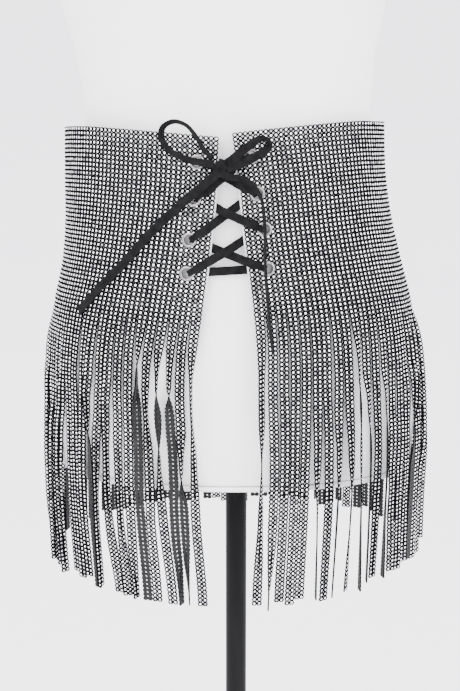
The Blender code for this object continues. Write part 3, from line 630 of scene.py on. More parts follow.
@functools.cache
def form_finish():
    """Satin white shell with a faint unevenness."""
    finish = Finish("form_white", (0.84, 0.84, 0.85), 0.4, **{"Coat Roughness": 0.3})
    cloudy = finish.noise(9, 3)
    fine = finish.noise(420, 2)
    finish.shade(cloudy, (0.3, (0.82, 0.82, 0.835)), (0.7, (0.87, 0.868, 0.87)))
    finish.vary("Roughness", 0.34 + 0.12 * cloudy)
    finish.vary("Coat Weight", 0.12 + 0.1 * cloudy)
    finish.bump(fine + 6.0 * cloudy, 0.05 * MM, 0.35)
    return finish.material


@functools.cache
def stand_finish():
    """Black satin paint on steel, a little worn."""
    sockets = {"Specular IOR Level": 0.05, "Coat Roughness": 0.3}
    finish = Finish("stand_black", (0.005, 0.005, 0.006), 0.4, **sockets)
    rubbed = finish.noise(60, 4, (1, 1, 0.15))
    finish.shade(rubbed, (0.35, (0.0015, 0.0015, 0.0017)), (0.75, (0.006, 0.006, 0.0065)))
    finish.vary("Roughness", 0.34 + 0.24 * rubbed)
    finish.vary("Coat Weight", 0.03 - 0.02 * rubbed)
    finish.bump(rubbed, 0.04 * MM, 0.3)
    return finish.material


@functools.cache
def tape_finish():
    """White woven tape."""
    finish = Finish("facing_tape", (0.78, 0.78, 0.78), 0.75)
    settings = {"wave_type": "BANDS", "bands_direction": "Z"}
    sockets = {"Vector": finish.place(), "Scale": 900.0, "Distortion": 0.4}
    ribs = Number(finish, finish.node("ShaderNodeTexWave", settings, sockets).outputs["Fac"])
    threads = finish.noise(2400, 2)
    finish.shade(threads, (0.3, (0.66, 0.66, 0.67)), (0.7, (0.84, 0.84, 0.84)))
    finish.bump(ribs + 0.5 * threads, 0.15 * MM, 0.6)
    return finish.material


def deselect():
    if bpy.context.object and bpy.context.object.mode != "OBJECT":
        bpy.ops.object.mode_set(mode="OBJECT")
    bpy.ops.object.select_all(action="DESELECT")


def take(piece):
    """Makes a piece the only selected one."""
    deselect()
    piece.select_set(True)
    bpy.context.view_layer.objects.active = piece
    return piece


def named(name):
    """The object that an operator has just added, named with its mesh."""
    piece = bpy.context.object
    piece.name = piece.data.name = name
    return piece


def added(operator, name, **settings):
    """Adds an object by one of Blender's operators and names it."""
    deselect()
    operator(**{"location": (0, 0, 0), **settings})
    return named(name)


def settle(piece):
    """Puts a piece's place, turn and scale into its mesh."""
    take(piece)
    bpy.ops.object.transform_apply(location=True, rotation=True, scale=True)
    return piece


def read(items, field, size=1, kind=float):
    """A field of all of a mesh's items as an array."""
    values = np.empty(len(items) * size, kind)
    items.foreach_get(field, values)
    return values.reshape(-1, size) if size > 1 else values


def points_of(piece):
    return read(piece.data.vertices, "co", 3)


def move_points(piece, points):
    piece.data.vertices.foreach_set("co", np.asarray(points, float).ravel())
    piece.data.update()


def dress(piece, slot, *materials):
    """Gives a piece its materials and the body that it rides on; its slot is not used."""
    for material in materials:
        piece.data.materials.append(material)
    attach(piece, "root")


@contextmanager
def edited(piece):
    """Edits a piece, at first with all of it selected."""
    take(piece)
    bpy.ops.object.mode_set(mode="EDIT")
    bpy.ops.mesh.select_all(action="SELECT")
    yield
    bpy.ops.object.mode_set(mode="OBJECT")


def modified(piece, kind, **settings):
    """Adds a modifier, sets it and applies it."""
    take(piece)
    modifier = piece.modifiers.new(kind, kind)
    for key, value in settings.items():
        setattr(modifier, key, value)
    bpy.ops.object.modifier_apply(modifier=modifier.name)


def arrayed(piece, count, step):
    offset = {"use_relative_offset": False, "use_constant_offset": True, "constant_offset_displace": step}
    modified(piece, "ARRAY", count=count, **offset)


def soften(piece, width):
    modified(piece, "BEVEL", width=width, segments=3, angle_limit=math.radians(60))


def join(piece, other):
    take(piece)
    other.select_set(True)
    bpy.ops.object.join()


def weld(piece):
    """Joins the corners of cells that meet and takes out the walls between them."""
    with edited(piece):
        bpy.ops.mesh.remove_doubles(threshold=0.01 * MM)
        bpy.ops.mesh.select_all(action="DESELECT")
        bpy.ops.mesh.select_mode(type="FACE")
        bpy.ops.mesh.select_interior_faces()
        bpy.ops.mesh.delete(type="FACE")


def face_outwards(piece):
    with edited(piece):
        bpy.ops.mesh.normals_make_consistent(inside=False)


def tube_grid(name, around, along, place):
    """A grid rolled up into a closed skin. place gives points from turn shares and length shares."""
    size = {"x_subdivisions": around, "y_subdivisions": along, "size": 1}
    piece = added(bpy.ops.mesh.primitive_grid_add, name, **size)
    flat = points_of(piece) + 0.5
    turns = np.round(flat[:, 0] * around) % around / around
    lengths = np.round(flat[:, 1] * along) / along
    move_points(piece, place(turns, lengths))
    with edited(piece):
        bpy.ops.mesh.remove_doubles(threshold=0.005 * MM)
        bpy.ops.mesh.fill_holes(sides=0)
        bpy.ops.mesh.normals_make_consistent(inside=False)
    bpy.ops.object.shade_smooth_by_angle(angle=math.radians(40))
    return piece


def turned_piece(name, profile, sides, closed=False):
    """A turned piece from (radius, height) points, made by extruding and scaling a circle."""
    radius, height = profile[0]
    size = {"vertices": sides, "radius": radius, "fill_type": "NOTHING"}
    piece = added(bpy.ops.mesh.primitive_circle_add, name, **size)
    steps = (*profile[1:], profile[0]) if closed else profile[1:]
    with edited(piece):
        bpy.ops.transform.translate(value=(0, 0, height))
        if not closed:
            bpy.ops.mesh.edge_face_add()
            bpy.ops.mesh.select_all(action="DESELECT")
            bpy.ops.mesh.select_non_manifold()
        for next_radius, next_height in steps:
            move = {"value": (0, 0, next_height - height)}
            bpy.ops.mesh.extrude_edges_move(TRANSFORM_OT_translate=move)
            scale = next_radius / radius
            bpy.ops.transform.resize(value=(scale, scale, 1), center_override=(0, 0, next_height))
            radius, height = next_radius, next_height
        if not closed:
            bpy.ops.mesh.edge_face_add()
        bpy.ops.mesh.select_all(action="SELECT")
        bpy.ops.mesh.remove_doubles(threshold=0.001 * MM)
        bpy.ops.mesh.normals_make_consistent(inside=False)
    bpy.ops.object.shade_smooth_by_angle(angle=math.radians(35))
    return piece


# The heights of a stone's parts over the middle of the net's thickness
BACK_HEIGHT = -0.75 * MM
CUP_EDGE_HEIGHT = 0.36 * MM
GIRDLE_HEIGHT = 0.25 * MM
TABLE_HEIGHT = 0.55 * MM
BAND_STONE, BAND_CUT = 0.92 * MM, 1.02 * MM  # girdle radius, and how far each corner is cut away
STRIP_STONE, STRIP_CUT = 0.88 * MM, 0.90 * MM
TABLE_SHARE = 0.55
TABLE_TILT = 0.16  # the spread of the tables' slopes
TABLE_LIMIT = 1.15 * MM


def pick_top(piece, height):
    """Selects only the level face at a height."""
    bm = bmesh.from_edit_mesh(piece.data)
    for face in bm.faces:
        face.select_set(all(abs(vert.co.z - height) < 0.001 * MM for vert in face.verts))
    bm.select_flush(True)


def pick_edges(piece, wanted):
    """Selects only the edges that are wanted by the places of their two ends."""
    bpy.ops.mesh.select_mode(type="EDGE")
    for edge in bmesh.from_edit_mesh(piece.data).edges:
        edge.select_set(wanted(*(vert.co for vert in edge.verts)))
    bmesh.update_edit_mesh(piece.data)


def is_table_corner(one, other):
    """Whether an edge between two places cuts off a corner of the stone's table."""
    level = min(one.z, other.z) > TABLE_HEIGHT - 0.001 * MM
    return level and min(abs(one.x - other.x), abs(one.y - other.y)) > 0.05 * MM


def stone_cell(girdle, corner_cut):
    """One cell of the net: an eight-sided black cup with a faceted stone, its corners cut away."""
    cell = added(bpy.ops.mesh.primitive_cube_add, "stone_cell", size=1)
    depth = CUP_EDGE_HEIGHT - BACK_HEIGHT
    centre = (STONE_PITCH / 2, ROW_PITCH / 2)
    bpy.ops.transform.resize(value=(STONE_PITCH, ROW_PITCH, depth))
    bpy.ops.transform.translate(value=(*centre, BACK_HEIGHT + depth / 2))
    rings = (
        (CUP_EDGE_HEIGHT, GIRDLE_HEIGHT, [girdle / half for half in centre]),
        (GIRDLE_HEIGHT, TABLE_HEIGHT, [TABLE_SHARE] * 2),
    )
    with edited(settle(cell)):
        pick_edges(cell, lambda one, other: abs(one.z - other.z) > depth / 2)
        bpy.ops.mesh.bevel(offset=corner_cut * math.sqrt(2), offset_type="WIDTH", segments=1, affect="EDGES")
        bpy.ops.mesh.select_mode(type="FACE")
        for low, high, scale in rings:
            pick_top(cell, low)
            bpy.ops.mesh.extrude_region_move(TRANSFORM_OT_translate={"value": (0, 0, high - low)})
            bpy.ops.transform.resize(value=(*scale, 1), center_override=(*centre, high))
        pick_edges(cell, is_table_corner)
        bpy.ops.mesh.merge(type="COLLAPSE")
    return cell


def repeat(piece, columns, rows):
    """Repeats a cell in a flat field of welded cells."""
    arrayed(piece, columns, (STONE_PITCH, 0, 0))
    arrayed(piece, rows, (0, ROW_PITCH, 0))
    weld(piece)
    return piece


def copied(piece, name):
    take(piece)
    bpy.ops.object.duplicate()
    return named(name)


def set_stones(piece, seed):
    """Tilts each stone's table, and gives stones slot 1, a painted glint and a wear, and cup backs slot 2."""
    chance = np.random.default_rng(seed)
    points = points_of(piece)
    column = np.floor(points[:, 0] / STONE_PITCH).astype(int)
    row = np.floor(points[:, 1] / ROW_PITCH).astype(int)
    columns, rows = column.max() + 2, row.max() + 2
    tilt = chance.normal(0, TABLE_TILT, (columns, rows, 2))
    table = points[:, 2] > TABLE_HEIGHT - 0.01 * MM
    across = points[:, 0] - (column + 0.5) * STONE_PITCH
    along = points[:, 1] - (row + 0.5) * ROW_PITCH
    lean = tilt[column, row]
    points[:, 2] += np.where(table, lean[:, 0] * across + lean[:, 1] * along, 0)
    points[:, 2] = np.minimum(points[:, 2], TABLE_LIMIT)
    move_points(piece, points)
    centres = read(piece.data.polygons, "center", 3)
    corners = read(piece.data.loops, "vertex_index", kind=np.int32)
    sizes = read(piece.data.polygons, "loop_total", kind=np.int32)
    scale = np.array([STONE_PITCH, ROW_PITCH])
    inside = points[corners, :2] / scale - np.repeat(np.floor(centres[:, :2] / scale), sizes, axis=0)
    piece.data.uv_layers.new(name="cell").data.foreach_set("uv", inside.astype(np.float32).ravel())
    is_stone = centres[:, 2] > GIRDLE_HEIGHT + 0.08 * MM
    is_back = centres[:, 2] < BACK_HEIGHT + 0.1 * MM
    piece.data.polygons.foreach_set("material_index", (is_stone + 2 * is_back).astype(np.int32))
    column = np.clip((centres[:, 0] / STONE_PITCH).astype(int), 0, columns - 1)
    row = np.clip((centres[:, 1] / ROW_PITCH).astype(int), 0, rows - 1)
    # glint is each stone's painted highlight, read as its colour; wear sets only its roughness.
    for name in ("glint", "wear"):
        values = chance.uniform(0, 1, (columns, rows))
        marks = piece.data.attributes.new(name, "FLOAT", "FACE")
        marks.data.foreach_set("value", values[column, row].astype(np.float32))


def lay_band(piece, side, wall):
    """Lays a flat field of stones along half of the belt, from a front edge to the middle of the back."""
    flat = points_of(piece)
    share = flat[:, 0] / (STONE_PITCH * BAND_COLUMNS * 2)
    share = share if side == "left" else 1 - share
    heights = BELT_TOP - BAND_HEIGHT * flat[:, 1] / ROW_PITCH / BAND_ROWS + wall.rise(share)
    point, outward = wall.place(share, heights)
    move_points(piece, raised(point + outward * flat[:, 2:3], heights))


def lay_strips(piece, first, fringe):
    """Hangs flat strips, two cells wide and a cell apart, as the fringe's strips from the first on."""
    flat = points_of(piece)
    strip = np.floor(flat[:, 0] / (STONE_PITCH * 3) + 0.1).astype(int)
    across = flat[:, 0] - strip * STONE_PITCH * 3 - STONE_PITCH
    rows = np.round(flat[:, 1] / ROW_PITCH, 3)
    laid = np.empty_like(flat)
    root_share = (FRINGE_TOTAL - FRINGE_LENGTH) / FRINGE_LENGTH
    for row in np.unique(rows):
        here = rows == row
        share = row / FRINGE_ROWS * (1 + root_share) - root_share
        point, heights, width, spread, facing = fringe.level(share)
        at = first + strip[here]
        side = across[here] / STONE_PITCH
        plan = point[at] + spread[at] * (side * width / 2)[:, None] + facing[at] * flat[here, 2:3]
        slant = fringe.wall.rise((at + 0.5 + side / 2) / STRIPS) - fringe.rises[at]
        laid[here] = raised(plan, heights[at] + slant * max(0.0, 1 - max(share, 0) / SLANTING_SHARE))
    move_points(piece, laid)


def eyelet_place(side, number):
    """The x and drop of an eyelet, counted from the top."""
    return tuple(length * MM for length in EYELETS[side][number - 1])


def eyelet_frame(side, number):
    """The eyelet's place as a matrix whose Z axis points out of the cloth."""
    x, drop = eyelet_place(side, number)
    turn = front_normal(x, drop).to_track_quat("Z", "Y").to_matrix().to_4x4()
    return Matrix.Translation(front_point(x, drop, 0)) @ turn


def flat_eyelet_place(side, number):
    """Where an eyelet lies in the flat field of stones."""
    x, drop = eyelet_place(side, number)
    ring = belt_ring(round(BELT_TOP - drop, 6))
    along = ring.along_at(x, side)
    from_edge = along - ring.left_edge if side == "left" else ring.right_edge - along
    share = from_edge / (ring.right_edge - ring.left_edge)
    own_drop = drop + rim_rise(share if side == "left" else 1 - share)
    return share * STONE_PITCH * BAND_COLUMNS * 2, own_drop / BAND_HEIGHT * ROW_PITCH * BAND_ROWS


def punch_eyelets(piece, side):
    """Punches the four eyelet holes out of a flat field of stones."""
    for number in (1, 2, 3, 4):
        x, y = flat_eyelet_place(side, number)
        size = {"vertices": 20, "radius": PUNCHED_RADIUS, "depth": 8 * MM, "location": (x, y, 0)}
        punch = added(bpy.ops.mesh.primitive_cylinder_add, "punch", **size)
        modified(piece, "BOOLEAN", operation="DIFFERENCE", solver="EXACT", object=punch)
        bpy.data.objects.remove(punch)


def lace_place(side, number):
    """Where the lace passes an eyelet: drawn to the side of the hole that is nearer the opening."""
    x, drop = eyelet_place(side, number)
    return x + (DRAWN_IN if side == "left" else -DRAWN_IN), drop


def front_direction(start, end):
    """The direction between two (x, drop) places in the plane of the front."""
    return Vector((end[0] - start[0], 0, start[1] - end[1])).normalized()


def flat_width(x, drop, direction, turn=0.0):
    """The width direction of a tape that runs in a direction and is turned out of the cloth's plane."""
    normal = front_normal(x, drop)
    flat = normal.cross(direction).normalized()
    return flat * math.cos(turn) + normal * math.sin(turn)


def meeting_share(a, b, c, d):
    """The share of the way from a to b at which the line from c to d crosses it."""
    run, other = (b[0] - a[0], b[1] - a[1]), (d[0] - c[0], d[1] - c[1])
    apart = (c[0] - a[0], c[1] - a[1])
    return (apart[0] * other[1] - apart[1] * other[0]) / (run[0] * other[1] - run[1] * other[0])


def edge_share(a, b, side):
    """The share of the way from a to b at which it passes a side's front edge."""
    share = 0.5
    for _ in range(8):
        drop = a[1] + share * (b[1] - a[1])
        share = (smooth(FRONT_EDGES, BELT_TOP - drop)[int(side == "right")] - a[0]) / (b[0] - a[0])
    return float(share)


def route_step(x, drop, offset, direction, turn=0.0):
    """A tape's point at an offset out of the front, and its width direction there."""
    return front_point(x, drop, offset), flat_width(x, drop, direction, turn)


def straight_route(a, b, stops):
    """A route between two places, by (share of the way, offset in millimetres) stops."""
    direction = front_direction(a, b)
    route = []
    for share, offset in stops:
        x, drop = a[0] + share * (b[0] - a[0]), a[1] + share * (b[1] - a[1])
        route.append(route_step(x, drop, offset * MM, direction))
    return route


def crossing_route(start, end, over):
    """From one eyelet's face, over the opening and up through the next eyelet from behind."""
    a, b = lace_place(*start), lace_place(*end)
    mm = MM / math.dist(a, b)
    rise = abs(b[1] - a[1]) / abs(b[0] - a[0])
    own_edge, far_edge = edge_share(a, b, start[0]), edge_share(a, b, end[0])
    corner = DRAWN_WIDTH / MM / 2 * rise * mm
    other = lace_place(end[0], start[1]), lace_place(start[0], end[1])
    meet = meeting_share(a, b, *other)
    middle, arrive, leave = (1.45, 3.0, 5.9) if over else (-0.8, 5.3, 0.5)
    stops = (
        (0.0, 0.15),
        (0.0, 1.5),
        (1.0 * mm, 2.6),
        (3.0 * mm, 3.15),
        (8.0 * mm, 3.0),
        (own_edge + corner + 0.9 * mm, 2.35),
        (meet - arrive * mm, middle),
        (meet + leave * mm, middle),
        (far_edge - corner - 1.7 * mm, -3.4),
        (1 - 9.0 * mm, -4.1),
        (1 - 3.0 * mm, -4.5),
        (1 - 1.0 * mm, -3.9),
        (1.0, -2.6),
        (1.0, -0.15),
    )
    return straight_route(a, b, stops)


def bar_route():
    """The middle of the lace, behind the front edges, and out through the lowest eyelets."""
    a, b = lace_place("left", 4), lace_place("right", 4)
    mm = MM / math.dist(a, b)
    half = ((0.0, -0.15), (0.0, -2.6), (1.0 * mm, -3.9), (3.0 * mm, -4.5), (9.0 * mm, -4.1), (0.35, -3.6))
    return straight_route(a, b, half + tuple((1 - share, offset) for share, offset in reversed(half)))


Stop = namedtuple("Stop", "x drop offset turn")  # millimetres, and degrees out of the cloth's plane

TOP_LEFT_END = (
    Stop(-24.0, 20.6, 4.6, 0),
    Stop(-17.9, 22.4, 5.6, 0),
)
TOP_RIGHT_END = (
    Stop(3.5, 18.0, 4.4, 0),
    Stop(-6.0, 21.4, 5.6, 0),
)
LEFT_LOOP = (
    Stop(-17.6, 20.3, 9.6, 35),
    Stop(-27.7, 18.8, 9.8, 45),
    Stop(-38.6, 16.0, 9.8, 55),
    Stop(-49.6, 9.9, 10.5, 60),
    Stop(-55.3, 1.5, 11.0, 62),
    Stop(-54.9, -8.0, 11.5, 62),
    Stop(-47.6, -13.0, 11.5, 60),
    Stop(-37.8, -10.3, 11.5, 60),
    Stop(-31.3, -2.7, 11.8, 60),
    Stop(-25.5, 7.7, 12.4, 58),
    Stop(-19.2, 15.0, 12.8, 50),
)
RIGHT_LOOP = (
    Stop(-7.6, 19.6, 12.0, 8),
    Stop(-5.0, 17.6, 12.4, 8),
    Stop(2.0, 11.6, 13.2, 10),
    Stop(9.5, 5.6, 13.6, 16),
    Stop(16.0, 1.6, 13.4, 40),
    Stop(21.5, 2.0, 12.8, 68),
    Stop(23.4, 6.0, 11.8, 62),
    Stop(19.8, 11.0, 11.0, 32),
    Stop(12.0, 15.6, 10.4, 14),
    Stop(4.0, 19.6, 10.6, 12),
    Stop(-5.0, 22.8, 10.8, 12),
    Stop(-8.0, 23.4, 10.8, 12),
)
LEFT_TAIL = (
    Stop(-14.2, 26.8, 8.8, 0),
    Stop(-17.0, 29.2, 8.6, 0),
    Stop(-22.0, 33.2, 8.2, 0),
    Stop(-30.3, 40.9, 7.2, 0),
    Stop(-39.1, 48.3, 5.6, 0),
    Stop(-51.4, 59.7, 4.0, 0),
    Stop(-65.4, 73.0, 2.8, 0),
    Stop(-77.2, 86.1, 2.5, 0),
    Stop(-87.6, 98.6, 2.5, 0),
    Stop(-99.8, 111.7, 2.5, 0),
    Stop(-110.6, 123.3, 2.6, 0),
    Stop(-119.1, 134.0, 2.8, 0),
    Stop(-126.4, 142.3, 3.0, 0),
)
RIGHT_TAIL = (
    Stop(-10.6, 28.4, 9.4, 38),
    Stop(-7.9, 29.8, 9.6, 40),
    Stop(3.5, 32.0, 9.6, 45),
    Stop(12.5, 38.4, 9.4, 60),
    Stop(17.2, 46.4, 9.0, 75),
    Stop(19.8, 58.9, 8.6, 80),
    Stop(20.8, 72.9, 8.4, 82),
    Stop(21.0, 87.8, 8.2, 82),
    Stop(21.4, 101.5, 8.2, 82),
    Stop(22.6, 120.0, 8.2, 80),
    Stop(24.2, 140.4, 8.6, 80),
    Stop(26.0, 157.0, 9.4, 78),
    Stop(27.6, 169.2, 10.2, 78),
)


def free_route(stops, count):
    """A smooth route through a free stretch's stops, with its flat side turned as they say."""
    places = np.array([(stop.x, stop.drop, stop.offset) for stop in stops]) * MM
    turns = np.radians([stop.turn for stop in stops])
    steps = np.concatenate([[0], np.cumsum(np.linalg.norm(np.diff(places, axis=0), axis=1))])
    table = [tuple(row) for row in np.column_stack([-steps, places, turns])]
    route = []
    for along in np.linspace(0, steps[-1], count):
        x, drop, offset, turn = (float(value) for value in smooth(table, -along))
        ahead, behind = smooth(table, -min(along + MM, steps[-1])), smooth(table, -max(along - MM, 0))
        direction = front_direction(behind[:2], ahead[:2])
        route.append(route_step(x, drop, offset, direction, turn))
    return route


def end_route(eyelet_at, stops):
    """The lace from a top eyelet's face to the knot."""
    start, first = lace_place(*eyelet_at), (stops[0].x * MM, stops[0].drop * MM)
    mm = MM / math.dist(start, first)
    route = straight_route(start, first, ((0.0, 0.15), (0.0, 1.5), (1.0 * mm, 2.7), (3.0 * mm, 3.4)))
    direction = front_direction(start, first)
    return route + [route_step(stop.x * MM, stop.drop * MM, stop.offset * MM, direction) for stop in stops]


def suede_tape(name, route, width, rings, swell=0.0):
    """A suede tape along a route of (point, width direction), which can swell between its ends."""
    places = np.array([tuple(point) for point, _ in route])
    across = np.array([tuple(Vector(direction).normalized()) for _, direction in route])
    steps = np.concatenate([[0], np.cumsum(np.linalg.norm(np.diff(places, axis=0), axis=1))])
    table = np.column_stack([-steps, places, across])
    samples = np.array([smooth(table, -along) for along in np.linspace(0, steps[-1], rings + 1)])
    centre, side = samples[:, :3], samples[:, 3:]
    ahead = np.gradient(centre, axis=0)
    ahead /= np.linalg.norm(ahead, axis=1, keepdims=True)
    side -= ahead * np.sum(side * ahead, axis=1, keepdims=True)
    side /= np.linalg.norm(side, axis=1, keepdims=True)
    thick = np.cross(ahead, side)

    def place(turns, lengths):
        ring = np.round(lengths * rings).astype(int)
        angle = 2 * math.pi * turns
        flat = np.sign(np.cos(angle)) * np.abs(np.cos(angle)) ** FLAT_POWER
        deep = np.sign(np.sin(angle)) * np.abs(np.sin(angle)) ** DEEP_POWER
        crease = 1 - CREASE_DEPTH * np.exp(-((flat / CREASE_WIDTH) ** 2))
        wander = 1 + sum(size * np.sin(lengths * waves + start) for size, waves, start in WIDTH_WAVES)
        from_end = np.minimum(lengths, 1 - lengths) * steps[-1]
        wander = wander + swell / width * np.clip((from_end - SWELL_START) / SWELL_SPAN, 0, 1)
        return (
            centre[ring]
            + side[ring] * (flat * wander * width / 2)[:, None]
            + thick[ring] * (deep * crease * LACE_THICKNESS / 2)[:, None]
        )

    piece = tube_grid(name, 16, rings, place)
    dress(piece, "lace", suede_finish())
    return piece, [tuple(point) for point in centre[:: max(1, rings // 24)]]


class FormSettings(PropertyGroup):
    sides: IntProperty(name="Sides", description="Facets round the form", default=96, min=24)
    levels: IntProperty(name="Levels", description="Rows of facets up the form", default=110, min=24)


class BeltSettings(PropertyGroup):
    seed: IntProperty(name="Stone seed", description="Chooses each stone's tilt and glint", default=5)
    punched: BoolProperty(name="Eyelet holes", description="Punch the holes out of the net", default=True)


class LaceSettings(PropertyGroup):
    rings: IntProperty(name="Rings", description="Facets along a long stretch of lace", default=72, min=12)


class StageSettings(PropertyGroup):
    floor_colour: FloatVectorProperty(
        name="Floor colour",
        description="Colour of the seamless floor",
        subtype="COLOR",
        size=3,
        default=(0.86, 0.86, 0.87),
    )
    key_power: FloatProperty(
        name="Key light", description="Power of the large front light", default=90.0, unit="POWER"
    )
    fill_power: FloatProperty(
        name="Fill light", description="Power of the side and top lights", default=50.0, unit="POWER"
    )
    world_strength: FloatProperty(name="Room light", description="Brightness of the white room", default=4.2)


class BELT_OT_form(Operator):
    """Builds the smooth limbless form and its bottom plate"""

    bl_idname = "belt.form"
    bl_label = "Dress form"

    def execute(self, context):
        settings = context.scene.belt_form
        top, bottom = FORM_RINGS[0].height, FORM_BOTTOM

        def place(turns, lengths):
            heights = top + (bottom - top) * lengths
            points = np.empty((len(turns), 3))
            for height in np.unique(heights):
                here = heights == height
                ring = smooth(FORM_RINGS, height)
                points[here, :2] = section_points(ring, 2 * math.pi * turns[here])
                points[here, 2] = height
            return points

        torso = tube_grid("form_shell", settings.sides, settings.levels, place)
        soften(torso, 3 * MM)
        dress(torso, "form", form_finish())
        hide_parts("form_torso")
        plate_top = FORM_BOTTOM - GAP
        rim = FORM_RINGS[-1][1:]

        def plate_place(turns, lengths):
            points = section_points(rim, 2 * math.pi * turns)
            return np.column_stack([points, plate_top - PLATE_THICKNESS * lengths])

        plate = tube_grid("form_plate", settings.sides, 1, plate_place)
        soften(plate, 0.9 * MM)
        dress(plate, "form", form_finish())
        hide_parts("form_bottom_plate")
        return {"FINISHED"}


class BELT_OT_stand(Operator):
    """Builds the pole and the round foot"""

    bl_idname = "belt.stand"
    bl_label = "Stand"

    def execute(self, context):
        pole_top = FORM_BOTTOM - 2 * GAP - PLATE_THICKNESS
        pole_bottom = SOCKET_FLOOR + GAP
        soft = 0.8 * MM
        pole = turned_piece(
            "pole",
            (
                (POLE_RADIUS - soft, pole_top),
                (POLE_RADIUS, pole_top - soft),
                (POLE_RADIUS, pole_bottom + soft),
                (POLE_RADIUS - soft, pole_bottom),
            ),
            64,
        )
        dress(pole, "stand", stand_finish())
        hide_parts("stand_pole")
        socket = POLE_RADIUS + 2 * GAP
        foot = turned_piece(
            "foot",
            (
                (socket, SOCKET_FLOOR),
                (socket, HUB_TOP - 1.0 * MM),
                (socket + 1.0 * MM, HUB_TOP),
                (HUB_RADIUS - 4 * MM, HUB_TOP),
                (HUB_RADIUS - 1.2 * MM, HUB_TOP - 1.2 * MM),
                (HUB_RADIUS, HUB_TOP - 4 * MM),
                (HUB_RADIUS + 1.5 * MM, FOOT_THICKNESS + 20 * MM),
                (HUB_RADIUS + 4 * MM, FOOT_THICKNESS + 6 * MM),
                (HUB_RADIUS + 8 * MM, FOOT_THICKNESS + 2 * MM),
                (HUB_RADIUS + 14 * MM, FOOT_THICKNESS),
                (FOOT_RADIUS * 0.6, FOOT_THICKNESS - 1.2 * MM),
                (FOOT_RADIUS - 5 * MM, FOOT_THICKNESS - 3 * MM),
                (FOOT_RADIUS - 1.4 * MM, FOOT_THICKNESS - 4.6 * MM),
                (FOOT_RADIUS, FOOT_THICKNESS - 8 * MM),
                (FOOT_RADIUS, 0.6 * MM),
                (FOOT_RADIUS - 0.6 * MM, 0),
            ),
            96,
        )
        dress(foot, "stand", stand_finish())
        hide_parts("stand_foot")
        return {"FINISHED"}


class BELT_OT_net(Operator):
    """Builds the belt's two halves and its fringe from one stone cell"""

    bl_idname = "belt.net"
    bl_label = "Stone net and fringe"

    def execute(self, context):
        settings = context.scene.belt_net
        materials = (net_finish(), crystal_finish(), cup_back_finish())
        cell = stone_cell(BAND_STONE, BAND_CUT)
        strip_cell = stone_cell(STRIP_STONE, STRIP_CUT)
        strip = repeat(copied(strip_cell, "strip_cells"), 2, FRINGE_ROWS)
        wall = Wall()
        fringe = Fringe(wall)
        quarter = STRIPS // 4
        for at, place in enumerate(("left_front", "left_back", "right_back", "right_front")):
            net = copied(strip, f"fringe_net_{place}")
            arrayed(net, quarter, (STONE_PITCH * 3, 0, 0))
            set_stones(net, settings.seed + at)
            lay_strips(net, at * quarter, fringe)
            face_outwards(net)
            dress(net, "net", *materials)
            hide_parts("fringe_left" if at < 2 else "fringe_right")
        for side in ("left", "right"):
            front = repeat(copied(cell, f"band_net_{side}"), EYELET_COLUMNS, BAND_ROWS)
            if settings.punched:
                punch_eyelets(front, side)
            rest = repeat(copied(cell, "band_rest"), BAND_COLUMNS - EYELET_COLUMNS, BAND_ROWS)
            rest.location.x = STONE_PITCH * EYELET_COLUMNS
            join(front, settle(rest))
            weld(front)
            set_stones(front, settings.seed + 10 + len(side))
            lay_band(front, side, wall)
            face_outwards(front)
            dress(front, "net", *materials)
            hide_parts(f"band_{side}")
        for spare in (cell, strip_cell, strip):
            bpy.data.objects.remove(spare)
        return {"FINISHED"}


class BELT_OT_facings(Operator):
    """Gives the tapes behind the front edges their woven finish"""

    bl_idname = "belt.facings"
    bl_label = "Facing tapes"

    def execute(self, context):
        for side in ("left", "right"):
            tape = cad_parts[f"facing_{side}"]
            tape.data.materials.clear()
            tape.data.materials.append(tape_finish())
        return {"FINISHED"}


class BELT_OT_eyelets(Operator):
    bl_idname = "belt.eyelets"
    bl_label = "Eyelets"

    def execute(self, context):
        under = NET_THICKNESS / 2 + GAP
        back = -(NET_THICKNESS / 2 + FACING_THICKNESS + 2 * GAP)
        hole, barrel = EYELET_HOLE_RADIUS, EYELET_BARREL_RADIUS
        face, rear = EYELET_FACE_RADIUS, EYELET_BACK_RADIUS
        profile = (
            (hole, under - 0.2 * MM),
            (hole + 0.05 * MM, under + 0.25 * MM),
            (hole + 0.3 * MM, under + 0.6 * MM),
            (hole + 0.8 * MM, under + 0.8 * MM),
            (face - 0.9 * MM, under + 0.72 * MM),
            (face - 0.35 * MM, under + 0.48 * MM),
            (face - 0.05 * MM, under + 0.15 * MM),
            (face - 0.15 * MM, under),
            (barrel, under),
            (barrel, back),
            (rear - 0.2 * MM, back),
            (rear, back - 0.2 * MM),
            (rear - 0.3 * MM, back - 0.5 * MM),
            (hole + 0.3 * MM, back - 0.5 * MM),
            (hole, back - 0.2 * MM),
        )
        middle = belt_ring(round(BELT_TOP - BAND_HEIGHT / 2, 6))
        for side in ("left", "right"):
            for number in (1, 2, 3, 4):
                ring = turned_piece(f"eyelet_ring_{side}_{number}", profile, 40, closed=True)
                ring.matrix_world = eyelet_frame(side, number)
                settle(ring)
                dress(ring, "eyelet", eyelet_finish())
                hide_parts(f"eyelet_{side}_{number}")
        return {"FINISHED"}


